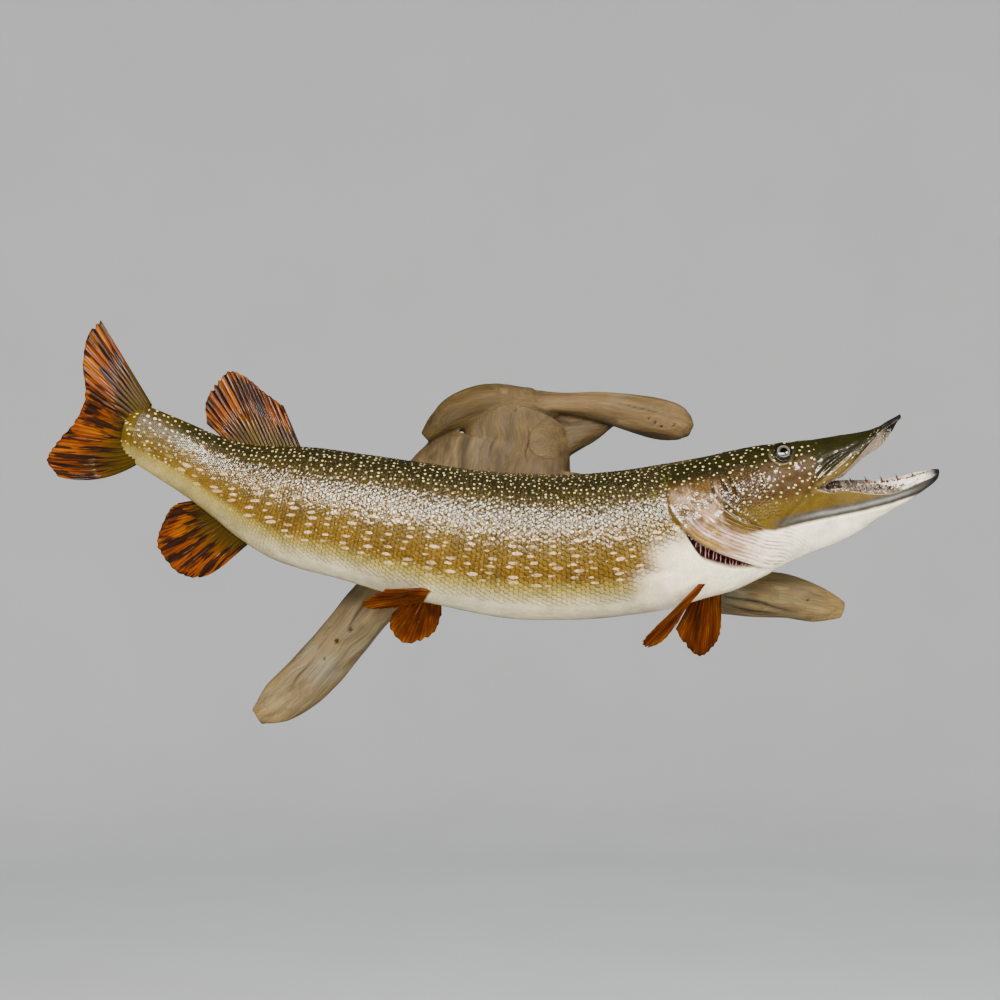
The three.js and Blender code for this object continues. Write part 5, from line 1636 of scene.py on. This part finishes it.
# The limbs are joined into one mesh of even quads.
shells = Builder()
for seed, rows in enumerate(WOOD.values()):
    rings = limb_shell(rows, seed)
    shells.tube(rings, rings[0].mean(0), rings[-1].mean(0))
bark_material = Nodes("driftwood")
rough_wood = shells.build("rough_wood", bark_material.material)
point_outwards(rough_wood)
remesh = rough_wood.modifiers.new("join", "REMESH")
remesh.mode = "VOXEL"
remesh.voxel_size = VOXEL * MM
joined = bpy.data.meshes.new_from_object(rough_wood.evaluated_get(bpy.context.evaluated_depsgraph_get()))
wood, wood_normals = vertex_rows(joined, "co") / MM, vertex_rows(joined, "normal")
wood_faces = np.empty(len(joined.loops), np.int32)
joined.loops.foreach_get("vertex_index", wood_faces)
bpy.data.objects.remove(rough_wood)

# Grain that runs along each limb, blended where limbs meet.
xz = wood[:, [0, 2]]
weights, heights, grains, tones = [], [], [], []
for seed, rows in enumerate(WOOD.values()):
    rows = np.asarray(rows, float)
    line = fine_line(rows[:, :2])
    signed, place = to_line(xz, line)
    wide = np.interp(place, np.linspace(0, 1, len(rows)), rows[:, 2])
    length = float(np.sum(np.linalg.norm(np.diff(line, axis=0), axis=1)))
    weights.append(np.exp(-3.2 * (signed / wide) ** 2) / (1 + 0.004 * wide))
    coordinate = np.stack([place * length + 400 * seed, signed, wood[:, 1]], -1)
    bend = 6 * noise3(wood * 0.012, 60 + seed)[:, None] * np.array([0, 1, 1])
    fibre = fractal((coordinate + bend) * np.array([0.010, 0.11, 0.11]), 3, 61)
    fine = fractal((coordinate + bend) * np.array([0.022, 0.42, 0.42]), 2, 67)
    grains.append(coordinate)
    heights.append(0.8 * fibre + 0.28 * fine)
    tones.append(fibre)
weights = np.array(weights)
weights /= weights.sum(0)
wood_height = (weights * np.array(heights)).sum(0) + 1.3 * fractal(wood * 0.022, 3, 90)
tone = (weights * np.array(tones)).sum(0)
grain = np.array(grains)[weights.argmax(0), np.arange(len(wood))]

crack_shade = np.zeros(len(wood))
facing = smoothstep(0.1, 0.5, -wood_normals[:, 1])
cuts = []  # how much of a cut each point has, and how deep the cut is
for line, deep, width in CRACKS:
    distance, place = to_curve(xz, line, 4)
    taper = np.sin(np.clip(place, 0.03, 0.97) * math.pi) ** 0.6
    ripple = 0.8 * noise3(wood * 0.11, 93)
    cuts.append((bell(distance + ripple, width * (0.5 + 0.7 * taper)) * taper, deep))
for x, z, radius in HOLES:
    cuts.append((smoothstep(radius, radius * 0.45, np.hypot(xz[:, 0] - x, xz[:, 1] - z)), HOLE_DEPTH))
for cut, deep in cuts:
    wood_height -= deep * cut * facing
    crack_shade = np.maximum(crack_shade, cut * facing)
on_back = smoothstep(-3, -0.6, wood[:, 1])
shaped = wood + wood_normals * (wood_height * (1 - on_back))[:, None]
shaped[:, 1] = np.minimum(shaped[:, 1], 0)

# The seat of the fish: wood in front of the fish's wall side is set back behind it.
seat_rows = catmull(BODY, np.linspace(0, CORNER_T, 900))


def seat_row(x):
    return seat_rows[np.clip(np.searchsorted(seat_rows[:, 0], x), 0, len(seat_rows) - 1)]


row = seat_row(shaped[:, 0])
for _ in range(3):  # the sections lean, so the one that a point lies in is found step by step
    row = seat_row(shaped[:, 0] + (shaped[:, 2] - row[:, 2]) * np.tan(np.radians(row[:, 3])))
rise = (shaped[:, 2] - row[:, 2]) / np.cos(np.radians(row[:, 3]))
reach = np.where(rise > 0, row[:, 4], row[:, 5]) + SEAT_GAP
power = np.where(rise > 0, row[:, 7], row[:, 8])
depth_at = (1 - np.clip(np.abs(rise) / reach, 0, 1) ** power) ** (1 / power)
seat_y = np.minimum(row[:, 1] + (row[:, 6] + SEAT_GAP) * depth_at, -1.0)
shaped[:, 1] = np.where(np.abs(rise) < reach, np.maximum(shaped[:, 1], seat_y), shaped[:, 1])
# Tones of core, lobe, arm, web, left limb and right limb.
LIMB_TONES = np.array([
    [0.46, 0.46, 0.38], [0.36, 0.34, 0.17], [0.67, 0.64, 0.52],
    [0.45, 0.44, 0.35], [0.80, 0.87, 0.84], [0.83, 0.88, 0.74],
])
wood_colour = np.tile(rgb("735e40"), (len(wood), 1))
ends = np.maximum(smoothstep(320, 368, wood[:, 0]), smoothstep(-205, -255, wood[:, 0]))
for code, strength in (  # dark tan, silver, cream, honey and the yellower ends
    ("57462e", smoothstep(0.0, 0.7, tone + 0.3 * fractal(wood * 0.013, 3, 101))),
    ("7c7565", 0.8 * smoothstep(0.05, 0.45, fractal(wood * 0.016, 3, 111))),
    ("97835f", 0.55 * smoothstep(0.1, 0.6, -tone)),
    ("80663c", 0.55 * smoothstep(0.15, 0.5, fractal(wood * 0.011, 2, 121))),
    ("90703e", 0.5 * ends),
):
    wood_colour = mix(wood_colour, code, strength)
# painted shade in the cracks and holes
wood_colour = mix(wood_colour * (weights.T @ LIMB_TONES), "1c130b", 0.9 * crack_shade)


def driftwood_look():
    n = bark_material
    place = n.node("TexCoord", out=OBJECT)
    drift = n.scaled(n.noise(place, 22, 2).node.outputs[1], (0.0, 0.016, 0.016))
    bent = n.node("VectorMath", {0: n.attribute("grain"), 1: drift})
    fibres = n.noise(n.scaled(bent, (14, 520, 520)), 1.0, 5, 0.65)
    wide = n.noise(n.scaled(bent, (7, 120, 120)), 1.0, 3, 0.55)
    rings = n.noise(n.scaled(bent, (4, 46, 46)), 1.0, 2, 0.4)
    lines = n.math("PINGPONG", n.product(rings, 14.0), 1.0)
    colour = n.shaded(n.attribute("broad"), fibres, 0.66, 1.24)
    colour = n.shaded(colour, wide, 0.74, 1.2, source=(0.32, 0.68))
    colour = n.blend(n.product(n.ramp(lines, 0.22, 0.0), 0.4), colour, "4a3826")
    specks = n.ramp(n.noise(place, 900, 2, 0.7), 0.62, 0.72)
    colour = n.blend(n.product(specks, 0.35), colour, "3a2a1c")
    bump = n.bump(n.math("ADD", n.product(fibres, 0.7), n.product(wide, 0.6)), 0.75, 0.0012)
    rough = n.ramp(wide, 0.3, 0.7, 0.52, 0.8, smooth=False)
    return n.finish(Base_Color=colour, Roughness=rough, Normal=bump, Specular_IOR_Level=0.35)


driftwood = make_object(
    "driftwood", shaped, wood_faces.reshape(-1, 4), driftwood_look(),
    dict(broad=wood_colour, grain=grain * MM),
)
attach(driftwood, "root")
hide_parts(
    "driftwood_core", "driftwood_lobe", "driftwood_arm", "driftwood_limb_left",
    "driftwood_limb_right",
)

# ---- stage, light and camera ---------------------------------------------------------------------
def stage_look():
    n = Nodes("studio_paper")
    colour = n.blend(n.noise(n.node("TexCoord", out=OBJECT), 3.0, 2), "c9cbcb", "d2d4d4")
    return n.finish(Base_Color=colour, Roughness=0.9, Specular_IOR_Level=0.1)


FLOOR = -950.0
# Radius and height over the floor of a bowl of paper round the part.
PROFILE = np.array([
    (20, 0), (1200, 0), (2600, 0), (3300, 0), (3650, 60), (3900, 220), (4030, 480), (4080, 800),
    (4100, 3400),
], float)
around = np.arange(96) / 96 * TAU
bowl = Builder()
index = bowl.add(np.stack([
    PROFILE[:, :1] * np.cos(around), PROFILE[:, :1] * np.sin(around), FLOOR + PROFILE[:, 1:] + 0 * around,
], -1))
hub = bowl.add(np.array([[0.0, 0.0, FLOOR]]))
bowl.face(quads(index, closed=True))
bowl.face(fan(index[0], int(hub[0])))
backdrop = bowl.build("studio_floor", stage_look())
backdrop.visible_glossy = False


def softbox(name, place, target, size, watts, colour=(1, 1, 1), mirrored=True):
    data = bpy.data.lights.new(name, "AREA")
    data.shape, data.size, data.size_y = "RECTANGLE", size[0], size[1]
    data.energy, data.color = watts, colour
    lamp = bpy.data.objects.new(name, data)
    lamp.location = place
    lamp.rotation_euler = (Vector(target) - Vector(place)).to_track_quat("-Z", "Y").to_euler()
    lamp.visible_glossy = mirrored
    bpy.context.scene.collection.objects.link(lamp)


softbox("over_front", (-0.25, -2.15, 0.80), (0, -0.1, 0), (2.0, 0.32), 84, (1.0, 0.93, 0.85))
softbox("over_right", (1.3, -1.7, 0.95), (0.2, -0.1, 0), (0.5, 0.4), 20, (1.0, 0.97, 0.93))
softbox("above", (-0.1, -1.3, 1.7), (0, -0.1, 0), (1.6, 1.0), 46, mirrored=False)
softbox("front_fill", (-1.2, -2.6, -0.1), (0, -0.1, 0), (1.6, 1.2), 16, mirrored=False)
softbox("right_fill", (2.3, -1.6, 0.0), (0.1, -0.1, 0), (1.2, 1.2), 36, mirrored=False)
softbox("behind", (0.6, 2.4, 1.6), (0, 0, 0), (2.0, 1.4), 30, mirrored=False)

world = bpy.data.worlds.new("studio_air")
bpy.context.scene.world = world
world.use_nodes = True
background = world.node_tree.nodes["Background"]
background.inputs["Color"].default_value = (0.86, 0.88, 0.9, 1)
rays = world.node_tree.nodes.new("ShaderNodeLightPath")
dimmer = world.node_tree.nodes.new("ShaderNodeMapRange")  # dimmer in reflections than as light
dimmer.inputs["To Min"].default_value = 0.5
dimmer.inputs["To Max"].default_value = 0.05
world.node_tree.links.new(rays.outputs["Is Glossy Ray"], dimmer.inputs["Value"])
world.node_tree.links.new(dimmer.outputs["Result"], background.inputs["Strength"])

CAMERA_Y, HALF_SENSOR, HALF_VIEW = -2300.0, 18.0, 520.0  # the picture is 1,040 mm wide at the fish
camera_data = bpy.data.cameras.new("camera")
camera_data.lens = HALF_SENSOR * (FISH_Y - CAMERA_Y) / HALF_VIEW
camera = bpy.data.objects.new("camera", camera_data)
camera.location = (0, CAMERA_Y * MM, 0)
camera.rotation_euler = (math.pi / 2, 0, 0)
bpy.context.scene.collection.objects.link(camera)
bpy.context.scene.camera = camera
